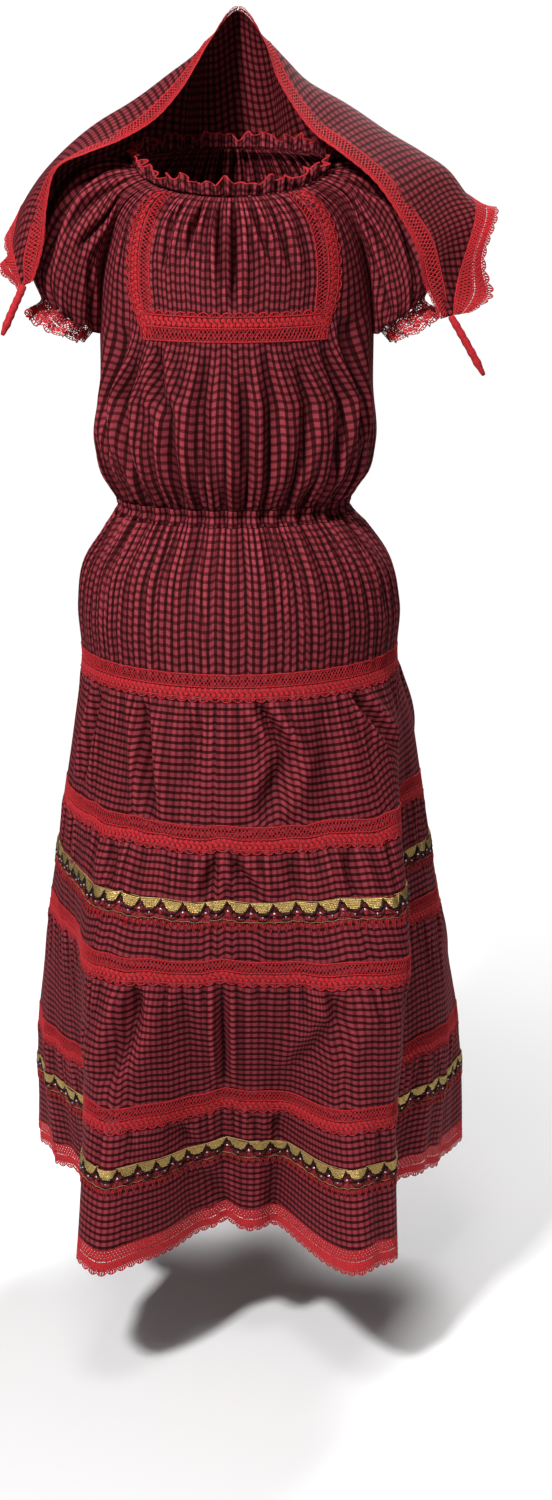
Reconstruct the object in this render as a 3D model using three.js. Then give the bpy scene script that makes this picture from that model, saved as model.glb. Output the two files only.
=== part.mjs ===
// A tiered gingham dress with a gathered elastic neck and waist, short puffed sleeves, lace
// bands, two beaded trims and its matching kerchief, hollow as it is worn.
// Millimetres, +Z up. The wearer faces -Y, and the wearer's right side is at -X.
// The origin is the middle of the neckline, at the height where the shoulders carry it.
import * as THREE from "three";

// Cloth and lace
const CLOTH = 1.2; // thickness of the gingham wall
const LACE = 1.0; // thickness of the lace
const BEADING = 1.6; // thickness of the beaded trim
const LACE_WIDTH = 30;
const SEAM = 0.3; // gap between two pieces at a seam
const RAGLAN_SEAM = 1.0; // the same at the raglan seams, where the panels meet at an angle
const RAGLAN_LAP = 2.1; // how far the sleeve's edge stands over the panel's edge there
const LIE = 0.4; // gap under a piece that is sewn flat on a panel
const LOOSE_LIE = 0.8; // the same where the panel under it has other columns

// Heights of the seams, from the neckline down
const UNDERARM = -177;
const WAIST = -361;
const CASING = 18; // height of the waist casing
const BANDS = [-531, -688, -831, -998]; // middle of each lace band, where two tiers meet
const HEM = -1143; // lower edge of the cloth, with the hem lace below it
const TRIMS = [
  { top: -752, bottom: -785 },
  { top: -1050, bottom: -1084 },
];

// Gathers, a crest and a valley each
const WAIST_GATHERS = 36;
const NECK_RUFFLES = 48;
const SLEEVE_GATHERS = 12;
const CUFF_RUFFLES = 10;

// How far the gathers stand out where they are drawn in, and the length over which they fade:
// in millimetres of height at the waist, and as a share of the panel elsewhere
const DRAWN_IN = {
  waist: { height: 3.2, fade: 62 },
  bodiceNeck: { height: 1.7, fade: 0.3 },
  sleeveNeck: { height: 1.9, fade: 0.3 },
  cuff: { height: 2.6, fade: 0.16 },
};
const CUFF_WAVE = { top: 1.5, bottom: 5 }; // waves of the cuff's lace, at its two edges
const NECK_RUFFLE = { height: 13, lift: 1.2, lean: 1.5, top: 4, bottom: 1.2 }; // top and bottom: its waves

// The steps over which a surface's direction is measured
const STEP = { angle: 0.1, height: -0.25, column: 0.001, share: 0.004, kerchief: 0.002 };

// Columns of facets
const HALF_COLUMNS = WAIST_GATHERS; // two columns for each gather in a half of the dress
const FRONT_TIER_COLUMNS = 34;
const BACK_TIER_COLUMNS = 24;
const KERCHIEF_COLUMNS = 30;

// The dress's outline at each height: how far it reaches to each side, to the front and to the
// back, and how far behind the middle its widest line lies.
const SECTIONS = [
  { z: -177, left: 143, right: 151, front: 133, back: 110, behind: 0 },
  { z: -230, left: 144, right: 151, front: 132, back: 112, behind: 0 },
  { z: -292, left: 151, right: 154, front: 129, back: 113, behind: 0 },
  { z: -322, left: 143, right: 146, front: 121, back: 104, behind: 0 },
  { z: -345, left: 130, right: 130, front: 106, back: 88, behind: 0 },
  { z: -361, left: 125, right: 124, front: 100, back: 82, behind: 0 },
  { z: -385, left: 139, right: 144, front: 115, back: 98, behind: 0 },
  { z: -420, left: 163, right: 170, front: 134, back: 120, behind: 0 },
  { z: -470, left: 173, right: 183, front: 151, back: 140, behind: 2 },
  { z: -531, left: 170, right: 181, front: 161, back: 149, behind: 4 },
  { z: -610, left: 181, right: 201, front: 177, back: 166, behind: 8 },
  { z: -688, left: 194, right: 213, front: 190, back: 182, behind: 12 },
  { z: -831, left: 219, right: 236, front: 207, back: 212, behind: 20 },
  { z: -998, left: 243, right: 260, front: 210, back: 240, behind: 28 },
  { z: -1180, left: 247, right: 264, front: 204, back: 264, behind: 33 },
];

// The crests and hollows of the hanging skirt, round from the front (0) by the left hand of
// the wearer (90): the angle of each at the first band and at the hem, and how far it stands
// out at the second, third and fourth band and at the hem.
const FLUTES = [
  { name: "front hollow", top: -6, hem: -5, b2: 6, b3: 8, b4: -38, low: -74 },
  { name: "small crest", top: 5, hem: 4, b2: 7, b3: 9, b4: -37, low: -56 },
  { name: "hollow by it", top: 18, hem: 15, b2: 8, b3: 18, b4: -26, low: -56 },
  { name: "left crest, inside", top: 38, hem: 23, b2: 16, b3: 50, b4: 44, low: 60 },
  { name: "left crest, edge", top: 60, hem: 30, b2: 25, b3: 60, b4: 52, low: 66 },
  { name: "left notch", top: 80, hem: 49, b2: -18, b3: -28, b4: -46, low: -58 },
  { name: "left side", top: 98, hem: 90, b2: 0, b3: -2, b4: -10, low: -20 },
  { name: "left back crest", top: 124, hem: 118, b2: 5, b3: 12, b4: 22, low: 32 },
  { name: "left back hollow", top: 142, hem: 142, b2: -5, b3: -10, b4: -18, low: -24 },
  { name: "back crest, left", top: 160, hem: 161, b2: 6, b3: 11, b4: 22, low: 32 },
  { name: "back hollow", top: 180, hem: 179, b2: -5, b3: -11, b4: -22, low: -30 },
  { name: "back crest, right", top: 200, hem: 198, b2: 6, b3: 12, b4: 24, low: 34 },
  { name: "right back hollow", top: 218, hem: 218, b2: -5, b3: -10, b4: -18, low: -24 },
  { name: "right back crest", top: 238, hem: 238, b2: 5, b3: 10, b4: 18, low: 28 },
  { name: "right side", top: 266, hem: 265, b2: 0, b3: -2, b4: -10, low: -20 },
  { name: "right notch", top: 284, hem: 307, b2: -2, b3: -14, b4: -44, low: -58 },
  { name: "right crest", top: 310, hem: 335, b2: 2, b3: 34, b4: 46, low: 62 },
  { name: "hollow by it", top: 342, hem: 346, b2: 5, b3: 14, b4: -14, low: -40 },
];

// Where the lace of the bib runs on the front, as angles from the middle of the front, and
// where the raglan seam is, from the neckline (0) to the underarm (1) and below it.
const BIB_INNER_COLUMN = 20 / HALF_COLUMNS;
const BIB_OUTER_COLUMN = 28 / HALF_COLUMNS;
const FRONT_LINES = [
  { t: 0, inner: 31, outer: 45, seam: 52 },
  { t: 0.15, inner: 36, outer: 52, seam: 64 },
  { t: 0.35, inner: 38, outer: 54, seam: 72 },
  { t: 0.575, inner: 37, outer: 52, seam: 79 },
  { t: 0.76, inner: 35, outer: 49, seam: 84 },
  { t: 1, inner: 36, outer: 50, seam: 90 },
  { t: 1.35, inner: 49.5, outer: 67.5, seam: 90 },
];
const BIB_TOP = 0.76;
const BIB_BOTTOM = 0.97;

// The sleeve: the line over its top from the neck to the cuff, and how far its front and back
// stand out from the plane through the arm.
const SLEEVE_TOP = [
  { t: 0, x: 102, y: -12, z: 4, puff: 0 },
  { t: 0.25, x: 134, y: -12, z: 6, puff: 13 },
  { t: 0.5, x: 170, y: -10, z: -10, puff: 31 },
  { t: 0.75, x: 200, y: -8, z: -52, puff: 48 },
  { t: 1, x: 214, y: -6, z: -108, puff: 54 },
  { t: 1.1, x: 203, y: -6, z: -134, puff: 45 },
  { t: 1.3, x: 222, y: -6, z: -157, puff: 54 },
];
const CUFF_INSIDE = { out: 9, z: -173 }; // its inner side, and how far that is from the body
const CUFF_LACE_INSIDE = { out: 22, z: -183 };
const CUFF = 1.1;
const CUFF_LACE_END = 1.3;

// The kerchief, a triangle worn over the shoulders with its long edge in front. Each row is a
// place along the long edge, from the tip on the wearer's right (-1) by the raised middle (0)
// to the other tip (1): the front edge, the ridge over the shoulder, the back and the short edge.
const KERCHIEF = [
  { s: -1, front: [-212, -73, -124], ridge: [-214, -70, -125], back: [-216, -67, -126], edge: [-218, -64, -127] },
  { s: -0.9, front: [-198, -72, -78], ridge: [-210, -61, -80], back: [-220, -50, -84], edge: [-229, -38, -91] },
  { s: -0.8, front: [-192, -70, -37], ridge: [-213, -34, -41], back: [-224, -20, -56], edge: [-233, -6, -76] },
  { s: -0.7, front: [-180, -66, -2], ridge: [-203, 2, -14], back: [-216, 18, -26], edge: [-226, 30, -42] },
  { s: -0.6, front: [-150, -60, 13], ridge: [-181, 20, 12], back: [-201, 46, -8], edge: [-210, 60, -34] },
  { s: -0.5, front: [-115, -50, 27], ridge: [-146, 32, 40], back: [-176, 82, -8], edge: [-184, 92, -48] },
  { s: -0.4, front: [-80, -36, 48], ridge: [-113, 42, 62], back: [-146, 98, -14], edge: [-152, 106, -90] },
  { s: -0.3, front: [-54, -20, 76], ridge: [-76, 48, 86], back: [-114, 107, -18], edge: [-120, 116, -130] },
  { s: -0.2, front: [-37, 0, 102], ridge: [-44, 46, 108], back: [-78, 112, -22], edge: [-84, 123, -180] },
  { s: -0.1, front: [-22, 24, 127], ridge: [-22, 42, 130], back: [-38, 114, -24], edge: [-42, 126, -240] },
  { s: 0, front: [6, 46, 157], ridge: [5, 60, 143], back: [2, 114, -26], edge: [0, 127, -272] },
  { s: 0.1, front: [33, 24, 126], ridge: [33, 42, 129], back: [42, 114, -24], edge: [42, 126, -240] },
  { s: 0.2, front: [47, 0, 91], ridge: [57, 46, 107], back: [84, 112, -22], edge: [86, 123, -180] },
  { s: 0.3, front: [64, -22, 62], ridge: [84, 50, 82], back: [122, 107, -20], edge: [124, 116, -130] },
  { s: 0.4, front: [87, -42, 34], ridge: [127, 46, 57], back: [158, 98, -18], edge: [160, 106, -88] },
  { s: 0.5, front: [114, -58, 15], ridge: [163, 34, 36], back: [190, 80, -14], edge: [197, 92, -52] },
  { s: 0.6, front: [149, -70, -13], ridge: [202, 24, 12], back: [217, 48, -12], edge: [225, 62, -38] },
  { s: 0.7, front: [176, -80, -49], ridge: [230, 6, -14], back: [240, 16, -20], edge: [247, 24, -30] },
  { s: 0.8, front: [195, -84, -83], ridge: [232, -40, -60], back: [246, -26, -54], edge: [257, -14, -50] },
  { s: 0.9, front: [203, -84, -117], ridge: [215, -74, -116], back: [226, -62, -116], edge: [236, -52, -116] },
  { s: 1, front: [224, -80, -159], ridge: [226, -78, -158], back: [228, -76, -157], edge: [230, -74, -156] },
];
const KERCHIEF_TIP = 0.985; // the cloth is cut off just short of the tips, where the tails begin
const KERCHIEF_OVERHANG = 6; // lace past the long edge

// The lace on the two short edges: how far it reaches past them.
const EDGING = [
  { s: -1, width: 12 },
  { s: -0.93, width: 30 },
  { s: -0.8, width: 30 },
  { s: 0, width: 30 },
  { s: 0.8, width: 28 },
  { s: 0.86, width: 27 },
  { s: 0.91, width: 50 },
  { s: 0.96, width: 34 },
  { s: 1, width: 12 },
];
const EDGING_WAVE = { height: 4, turns: 44 };
const TAIL = { width: 9, thickness: 8 };
const TAILS = [
  { side: "right", u: KERCHIEF_TIP, apart: 2.5, end: [-242, -62, -172] },
  { side: "left", u: -KERCHIEF_TIP, apart: 1.4, end: [265, -70, -213] },
];

// Materials
const gingham = new THREE.MeshStandardMaterial({ color: 0x6b1e2b, roughness: 0.85, metalness: 0 });
const lace = new THREE.MeshStandardMaterial({ color: 0xc4232c, roughness: 0.8, metalness: 0 });
const beads = new THREE.MeshStandardMaterial({ color: 0x9a8430, roughness: 0.4, metalness: 0.5 });

const radians = (degrees) => (degrees * Math.PI) / 180;
const mix = (a, b, share) => a + (b - a) * share;
const clamp01 = (x) => Math.min(1, Math.max(0, x));

// A smooth curve through the rows of a table: the value of one column at x.
function curve(rows, key, read) {
  const xs = rows.map((row) => row[key]);
  const ys = rows.map(read);
  const last = xs.length - 1;
  const rise = (i) => (ys[i + 1] - ys[i]) / (xs[i + 1] - xs[i]);
  const slope = xs.map((_, i) => {
    if (i === 0) return rise(0);
    if (i === last) return rise(last - 1);
    const before = xs[i] - xs[i - 1];
    const after = xs[i + 1] - xs[i];
    return (rise(i - 1) * after + rise(i) * before) / (before + after);
  });
  const increasing = xs[last] > xs[0];
  return (x) => {
    let i = 0;
    while (i < last - 1 && (increasing ? x > xs[i + 1] : x < xs[i + 1])) i++;
    const width = xs[i + 1] - xs[i];
    const share = (x - xs[i]) / width;
    if (share < 0) return ys[i] + slope[i] * (x - xs[i]);
    if (share > 1) return ys[i + 1] + slope[i + 1] * (x - xs[i + 1]);
    const two = share * share;
    const three = two * share;
    return (
      ys[i] * (2 * three - 3 * two + 1) +
      ys[i + 1] * (3 * two - 2 * three) +
      slope[i] * width * (three - 2 * two + share) +
      slope[i + 1] * width * (three - two)
    );
  };
}

function evenly(from, to, steps) {
  return Array.from({ length: steps + 1 }, (_, i) => mix(from, to, i / steps));
}

// A surface: its point at u across and v down, and the direction in which it faces there.
// The steps lead across and down.
function surface(at, stepU, stepV) {
  const facing = (u, v) => {
    const across = at(u + stepU, v).sub(at(u - stepU, v));
    const down = at(u, v + stepV).sub(at(u, v - stepV));
    return down.cross(across).normalize();
  };
  return { at, facing };
}

// A closed wall along a surface, from the offset "inside" to the offset "outside" of it.
function wall({ at, facing }, us, vs, inside, outside, ring = false) {
  const positions = [];
  for (const offset of [outside, inside])
    for (const v of vs)
      for (const u of us) positions.push(...at(u, v).addScaledVector(facing(u, v), offset));
  const columns = us.length;
  const rows = vs.length;
  const outer = (i, j) => j * columns + (i % columns);
  const inner = (i, j) => columns * rows + outer(i, j);
  const index = [];
  const quad = (a, b, c, d) => index.push(a, b, c, a, c, d);
  const spans = ring ? columns : columns - 1;
  for (let i = 0; i < spans; i++) {
    for (let j = 0; j < rows - 1; j++) {
      quad(outer(i, j), outer(i, j + 1), outer(i + 1, j + 1), outer(i + 1, j));
      quad(inner(i, j), inner(i + 1, j), inner(i + 1, j + 1), inner(i, j + 1));
    }
    quad(outer(i, 0), outer(i + 1, 0), inner(i + 1, 0), inner(i, 0));
    quad(outer(i + 1, rows - 1), outer(i, rows - 1), inner(i, rows - 1), inner(i + 1, rows - 1));
  }
  if (!ring)
    for (let j = 0; j < rows - 1; j++) {
      quad(outer(0, j + 1), outer(0, j), inner(0, j), inner(0, j + 1));
      quad(outer(spans, j), outer(spans, j + 1), inner(spans, j + 1), inner(spans, j));
    }
  const geometry = new THREE.BufferGeometry();
  geometry.setAttribute("position", new THREE.Float32BufferAttribute(positions, 3));
  geometry.setIndex(index);
  geometry.computeVertexNormals();
  return geometry;
}

function piece(name, geometry, material) {
  const mesh = new THREE.Mesh(geometry, material);
  mesh.name = name;
  return mesh;
}

const clothWall = (panel, us, vs, ring) => wall(panel, us, vs, -CLOTH / 2, CLOTH / 2, ring);
const laceWall = (panel, us, vs) => wall(panel, us, vs, -LACE / 2, LACE / 2);
const laidWall = (panel, us, vs, thickness, gap = LIE) =>
  wall(panel, us, vs, CLOTH / 2 + gap, CLOTH / 2 + gap + thickness);

// The torso and skirt without folds: the point at an angle round from the front.
const reach = Object.fromEntries(
  ["left", "right", "front", "back", "behind"].map((side) => [side, curve(SECTIONS, "z", (row) => row[side])]),
);

function form(angle, z) {
  const sine = Math.sin(radians(angle));
  const cosine = Math.cos(radians(angle));
  const behind = reach.behind(z);
  const half = sine > 0 ? reach.right(z) : reach.left(z);
  const depth = cosine > 0 ? reach.front(z) + behind : reach.back(z) - behind;
  return new THREE.Vector3(half * sine, behind - depth * cosine, z);
}

function pushedOut(point, angle, distance) {
  point.x += distance * Math.sin(radians(angle));
  point.y -= distance * Math.cos(radians(angle));
  return point;
}

// How far the hanging folds stand out at an angle and height.
function flute(angle, z) {
  const fall = clamp01((BANDS[0] - z) / (BANDS[0] - HEM));
  const levels = [
    { z: BANDS[0], key: null },
    { z: BANDS[1], key: "b2" },
    { z: BANDS[2], key: "b3" },
    { z: BANDS[3], key: "b4" },
    { z: HEM, key: "low" },
  ];
  const rows = FLUTES.map((row) => {
    const depths = levels.map(({ z: at, key }) => ({ z: at, depth: key ? row[key] : 0 }));
    return {
      angle: mix(row.hem, row.top, (1 - fall) ** 2),
      depth: z > BANDS[0] ? 0 : curve(depths, "z", (level) => level.depth)(z),
    };
  });
  const turn = (row, by) => ({ angle: row.angle + by, depth: row.depth });
  const before = rows.slice(-3).map((row) => turn(row, -360));
  const after = rows.slice(0, 3).map((row) => turn(row, 360));
  const round = [...before, ...rows, ...after];
  const wrapped = ((angle + 10) % 360 + 360) % 360 - 10;
  return curve(round, "angle", (row) => row.depth)(wrapped);
}

const fading = ({ height, fade }, distance) => height * Math.exp(-((distance / fade) ** 2));

function waistGather(angle, z) {
  return fading(DRAWN_IN.waist, z - WAIST) * Math.cos(radians(angle) * WAIST_GATHERS);
}

function hangingSkirt(angle, z) {
  const folds = z < BANDS[0] ? flute(angle, z) : 0;
  return pushedOut(form(angle, z), angle, folds + waistGather(angle, z));
}

// Where lace or trim is sewn on, the folds keep one shape from the strip's top to its bottom.
const laceStrip = (band) => ({ top: band + LACE_WIDTH / 2, bottom: band - LACE_WIDTH / 2 });
const STRIPS = [...BANDS.map(laceStrip), ...TRIMS];
const stripMiddle = (z) => {
  const strip = STRIPS.find(({ top, bottom }) => z <= top + SEAM && z >= bottom - SEAM);
  return strip ? (strip.top + strip.bottom) / 2 : z;
};

function skirtPoint(angle, z) {
  const middle = stripMiddle(z);
  const widening = form(angle, z).sub(form(angle, middle));
  return hangingSkirt(angle, middle).add(widening);
}

const plainSkirt = surface(skirtPoint, STEP.angle, STEP.height);
const skirt = { at: skirtPoint, facing: (angle, z) => plainSkirt.facing(angle, stripMiddle(z)) };

// The neckline's elastic, and the shoulders and chest from it (t = 0) to the underarm (t = 1).
const NECK = { half: 102, middle: -12, front: 93, back: 80, side: 4, dip: 33, rise: 10 };

function neckline(angle) {
  const sine = Math.sin(radians(angle));
  const cosine = Math.cos(radians(angle));
  const depth = cosine > 0 ? NECK.front : NECK.back;
  const lift = cosine > 0 ? -NECK.dip * cosine ** 0.85 : -NECK.rise * cosine;
  return new THREE.Vector3(NECK.half * sine, NECK.middle - depth * cosine, NECK.side + lift);
}

function shoulders(angle, t) {
  const neck = neckline(angle);
  const chest = form(angle, UNDERARM);
  const spread = Math.sin((Math.PI / 2) * clamp01(t)) ** 0.5;
  const x = mix(neck.x, chest.x, spread);
  const y = mix(neck.y, chest.y, spread);
  return new THREE.Vector3(x, y, mix(neck.z, UNDERARM, t));
}

// The bodice from the neckline (t = 0) by the underarm (1) to the waist casing (2).
const bodiceHeight = (t) => mix(UNDERARM, WAIST + CASING / 2 + 2.5 * SEAM, t - 1);
const line = Object.fromEntries(
  ["inner", "outer", "seam"].map((name) => [name, curve(FRONT_LINES, "t", (row) => row[name])]),
);

function columnAngle(column, t) {
  const place = Math.abs(column);
  const at = Math.min(t, FRONT_LINES[FRONT_LINES.length - 1].t);
  const seam = t >= 1 ? 90 : line.seam(at);
  const knots = [
    [0, 0],
    [BIB_INNER_COLUMN, line.inner(at)],
    [BIB_OUTER_COLUMN, line.outer(at)],
    [1, seam],
  ];
  const k = place < BIB_INNER_COLUMN ? 0 : place < BIB_OUTER_COLUMN ? 1 : 2;
  const share = (place - knots[k][0]) / (knots[k + 1][0] - knots[k][0]);
  return Math.sign(column) * mix(knots[k][1], knots[k + 1][1], share);
}

// A gap in millimetres as an angle round the body.
const gapAngle = (gap) => (gap / 140) * (180 / Math.PI);

function bodice(column, t, middle) {
  const gap = t < 1 ? RAGLAN_SEAM : SEAM;
  const seam = columnAngle(1, t);
  const angle = middle + columnAngle(column, t) * (1 - gapAngle(gap / 2) / seam);
  const gathers = Math.cos((column + 1) * Math.PI * (HALF_COLUMNS / 2));
  if (t < 1) {
    const atNeck = DRAWN_IN.bodiceNeck.height * Math.exp(-t / DRAWN_IN.bodiceNeck.fade);
    return pushedOut(shoulders(angle, t), angle, atNeck * gathers);
  }
  const z = bodiceHeight(t);
  return pushedOut(form(angle, z), angle, fading(DRAWN_IN.waist, z - WAIST) * gathers);
}

const bodicePanel = (middle) => surface((column, t) => bodice(column, t, middle), STEP.column, STEP.share);

// A sleeve, from its front seam (w = 0) over the top to its back seam (1), and from the
// neckline (t = 0) to the cuff (1.1). The side is 1 at +X and -1 at -X.
const sleeveTop = Object.fromEntries(
  ["x", "y", "z", "puff"].map((name) => [name, curve(SLEEVE_TOP, "t", (row) => row[name])]),
);

function seamAngle(t) {
  const panelEdge = columnAngle(1, Math.min(t, 1)) + gapAngle(RAGLAN_SEAM / 2);
  return Math.min(panelEdge, 90 - gapAngle(SEAM));
}

const shoulderSurface = surface(shoulders, STEP.angle, STEP.share);

function sleeveSeam(side, t, back) {
  const angle = side * (back ? 180 - seamAngle(t) : seamAngle(t));
  const upTo = Math.min(t, 1);
  const normal = shoulderSurface.facing(angle, Math.max(upTo, 0.01));
  const point = shoulders(angle, upTo).addScaledVector(normal, RAGLAN_LAP * clamp01(upTo / 0.1));
  if (t <= 1) return point;
  const past = clamp01((t - 1) / (CUFF - 1));
  const lace = clamp01((t - CUFF) / (CUFF_LACE_END - CUFF));
  const z = mix(CUFF_INSIDE.z, CUFF_LACE_INSIDE.z, lace);
  const out = mix(CUFF_INSIDE.out, CUFF_LACE_INSIDE.out, lace);
  const body = side > 0 ? reach.right(z) : reach.left(z);
  return point.lerp(new THREE.Vector3(side * (body + out), point.y, z), past);
}

function sleeve(side, w, t) {
  const front = sleeveSeam(side, t, false);
  const back = sleeveSeam(side, t, true);
  const middle = front.clone().add(back).multiplyScalar(0.5);
  const ends = front.clone().sub(back).multiplyScalar(0.5);
  const top = new THREE.Vector3(side * sleeveTop.x(t), sleeveTop.y(t), sleeveTop.z(t)).sub(middle);
  const point = middle
    .addScaledVector(ends, Math.cos(Math.PI * w))
    .addScaledVector(top, (1 - Math.cos(2 * Math.PI * w)) / 2);
  point.y -= sleeveTop.puff(t) * Math.sin(2 * Math.PI * w);
  return point;
}

// Near the neck the sleeve takes the neckline's curve.
function sleevePoint(side, w, t) {
  const point = sleeve(side, w, t);
  const near = 1 - t / 0.4;
  if (near <= 0) return point;
  const angle = side * mix(seamAngle(0), 180 - seamAngle(0), clamp01(w));
  const toNeckline = neckline(angle).sub(sleeve(side, clamp01(w), 0));
  return point.addScaledVector(toNeckline, Math.min(1, near));
}

// The same sleeve, run across so that it faces outwards on either side.
const plainSleeve = (side) =>
  surface((w, t) => sleevePoint(side, side > 0 ? w : 1 - w, t), STEP.share, STEP.share);

function gatheredSleeve(side, w, t) {
  const { at, facing } = plainSleeve(side);
  const { height: neckHeight, fade: neckFade } = DRAWN_IN.sleeveNeck;
  const atNeck = neckHeight * clamp01(0.25 + t / 0.1) * Math.exp(-t / neckFade);
  const atCuff = fading(DRAWN_IN.cuff, t - CUFF);
  const fade = clamp01(Math.min(w, 1 - w) / 0.12);
  const gathers = Math.cos(2 * Math.PI * SLEEVE_GATHERS * w) * fade;
  return at(w, t).addScaledVector(facing(w, t), (atNeck + atCuff) * gathers);
}

function cuffRuffle(side, w, t) {
  const { at, facing } = plainSleeve(side);
  const height = mix(CUFF_WAVE.top, CUFF_WAVE.bottom, clamp01((t - CUFF) / (CUFF_LACE_END - CUFF)));
  return at(w, t).addScaledVector(facing(w, t), height * Math.cos(2 * Math.PI * CUFF_RUFFLES * w));
}

// The kerchief: a smooth surface through its table, with "down" running from 0 at the long edge,
// by the lace's inner edge, the ridge and the back, to 1 at the short edge.
const DOWN = { lace: 0.2, ridge: 0.4, back: 0.7 };
const edgingWidth = curve(EDGING, "s", (row) => row.width);
const kerchiefLines = ["front", "ridge", "back", "edge"].map((name) =>
  [0, 1, 2].map((axis) => curve(KERCHIEF, "s", (row) => row[name][axis])),
);

function kerchiefPoint(u, down) {
  const s = -u;
  const points = kerchiefLines.map((axes) => new THREE.Vector3(...axes.map((axis) => axis(s))));
  const column = new THREE.CatmullRomCurve3(points, false, "centripetal");
  if (down < 0) {
    const past = (down / DOWN.lace) * KERCHIEF_OVERHANG;
    return column.getPoint(0).addScaledVector(column.getTangent(0), past);
  }
  if (down > 1) {
    const flop = new THREE.Vector3(0.8 * clamp01(s), 0, -0.2);
    const direction = column.getTangent(1).add(flop).normalize();
    return column.getPoint(1).addScaledVector(direction, (down - 1) * edgingWidth(s));
  }
  const length = column.getLength();
  const laced = column.getUtoTmapping(Math.min((LACE_WIDTH - KERCHIEF_OVERHANG) / length, 0.6));
  const knots = [
    { down: 0, place: 0 },
    { down: DOWN.lace, place: laced },
    { down: DOWN.ridge, place: Math.max(1 / 3, laced + (1 - laced) / 3) },
    { down: DOWN.back, place: Math.max(2 / 3, laced + (2 * (1 - laced)) / 3) },
    { down: 1, place: 1 },
  ];
  const k = Math.max(1, knots.findIndex((knot) => knot.down >= down));
  const share = (down - knots[k - 1].down) / (knots[k].down - knots[k - 1].down);
  return column.getPoint(clamp01(mix(knots[k - 1].place, knots[k].place, share)));
}

const kerchief = surface(kerchiefPoint, STEP.kerchief, STEP.share);

function kerchiefEdging(u, down) {
  const wave = EDGING_WAVE.height * clamp01(down - 1) * Math.sin(u * EDGING_WAVE.turns);
  return kerchiefPoint(u, down).addScaledVector(kerchief.facing(u, Math.min(down, 0.99)), wave);
}

// The columns of a tier, spread evenly along its folded hem.
function tierColumns(from, to, columns) {
  const fine = evenly(from, to, 720);
  const lengths = [0];
  fine.slice(1).forEach((angle, i) => {
    const run = skirt.at(angle, HEM).distanceTo(skirt.at(fine[i], HEM));
    lengths.push(lengths[i] + run);
  });
  const total = lengths[lengths.length - 1];
  return evenly(0, total, columns).map((length) => {
    const i = Math.max(1, lengths.findIndex((l) => l >= length - 1e-9));
    const share = (length - lengths[i - 1]) / (lengths[i] - lengths[i - 1]);
    return mix(fine[i - 1], fine[i], share);
  });
}

const sideGap = gapAngle(SEAM / 2);
const HALVES = [
  { name: "front", middle: 0, columns: tierColumns(-90 + sideGap, 90 - sideGap, FRONT_TIER_COLUMNS) },
  { name: "back", middle: 180, columns: tierColumns(90 + sideGap, 270 - sideGap, BACK_TIER_COLUMNS) },
];

function addBodice(dress) {
  const rows = {
    front: [0, 0.13, 0.4, BIB_TOP, BIB_BOTTOM, 1.3, 1.65, 1.86, 2],
    back: [0, 0.13, 0.4, 0.75, 1.02, 1.4, 1.8, 2],
  };
  const columns = evenly(-1, 1, HALF_COLUMNS);
  for (const { name, middle } of HALVES) {
    dress.add(piece("bodice_" + name, clothWall(bodicePanel(middle), columns, rows[name]), gingham));
  }
  const front = bodicePanel(0);
  const step = 2 / HALF_COLUMNS;
  const between = (from, to) => evenly(from, to, Math.round((to - from) / step));
  const sideRows = [0.01, 0.13, 0.4, BIB_TOP - 0.002];
  const onRight = between(-BIB_OUTER_COLUMN, -BIB_INNER_COLUMN);
  const onLeft = between(BIB_INNER_COLUMN, BIB_OUTER_COLUMN);
  const across = between(-BIB_OUTER_COLUMN, BIB_OUTER_COLUMN);
  dress.add(piece("bib_lace_right", laidWall(front, onRight, sideRows, LACE), lace));
  dress.add(piece("bib_lace_left", laidWall(front, onLeft, sideRows, LACE), lace));
  dress.add(piece("bib_lace_bottom", laidWall(front, across, [BIB_TOP + 0.001, BIB_BOTTOM], LACE), lace));
}

function addNeckAndWaist(dress) {
  const ruffle = surface((angle, height) => {
    const wave = mix(NECK_RUFFLE.bottom, NECK_RUFFLE.top, height) * Math.cos(radians(angle) * NECK_RUFFLES);
    const point = pushedOut(neckline(angle), angle, wave + NECK_RUFFLE.lean * height);
    point.z += CLOTH / 2 + SEAM + NECK_RUFFLE.lift + NECK_RUFFLE.height * height;
    return point;
  }, STEP.angle, -STEP.share);
  const around = (columns) => evenly(0, 360, columns).slice(0, -1);
  dress.add(piece("neck_ruffle", clothWall(ruffle, around(2 * NECK_RUFFLES), [1, 0], true), gingham));
  const casing = [WAIST + CASING / 2, WAIST - CASING / 2];
  dress.add(piece("waist_casing", clothWall(skirt, around(2 * WAIST_GATHERS), casing, true), gingham));
}

function addSleeves(dress) {
  const rows = [0, 0.13, 0.32, 0.54, 0.78, 0.96, CUFF];
  const columns = evenly(0, 1, 2 * SLEEVE_GATHERS);
  const ruffles = evenly(0, 1, 2 * CUFF_RUFFLES);
  for (const { name, side } of [
    { name: "right", side: -1 },
    { name: "left", side: 1 },
  ]) {
    const cloth = surface((w, t) => gatheredSleeve(side, w, t), STEP.share, STEP.share);
    const edging = surface((w, t) => cuffRuffle(side, w, t), STEP.share, STEP.share);
    dress.add(piece("sleeve_" + name, clothWall(cloth, columns, rows), gingham));
    dress.add(piece("cuff_lace_" + name, laceWall(edging, ruffles, [CUFF + 0.012, CUFF_LACE_END]), lace));
  }
}

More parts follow.
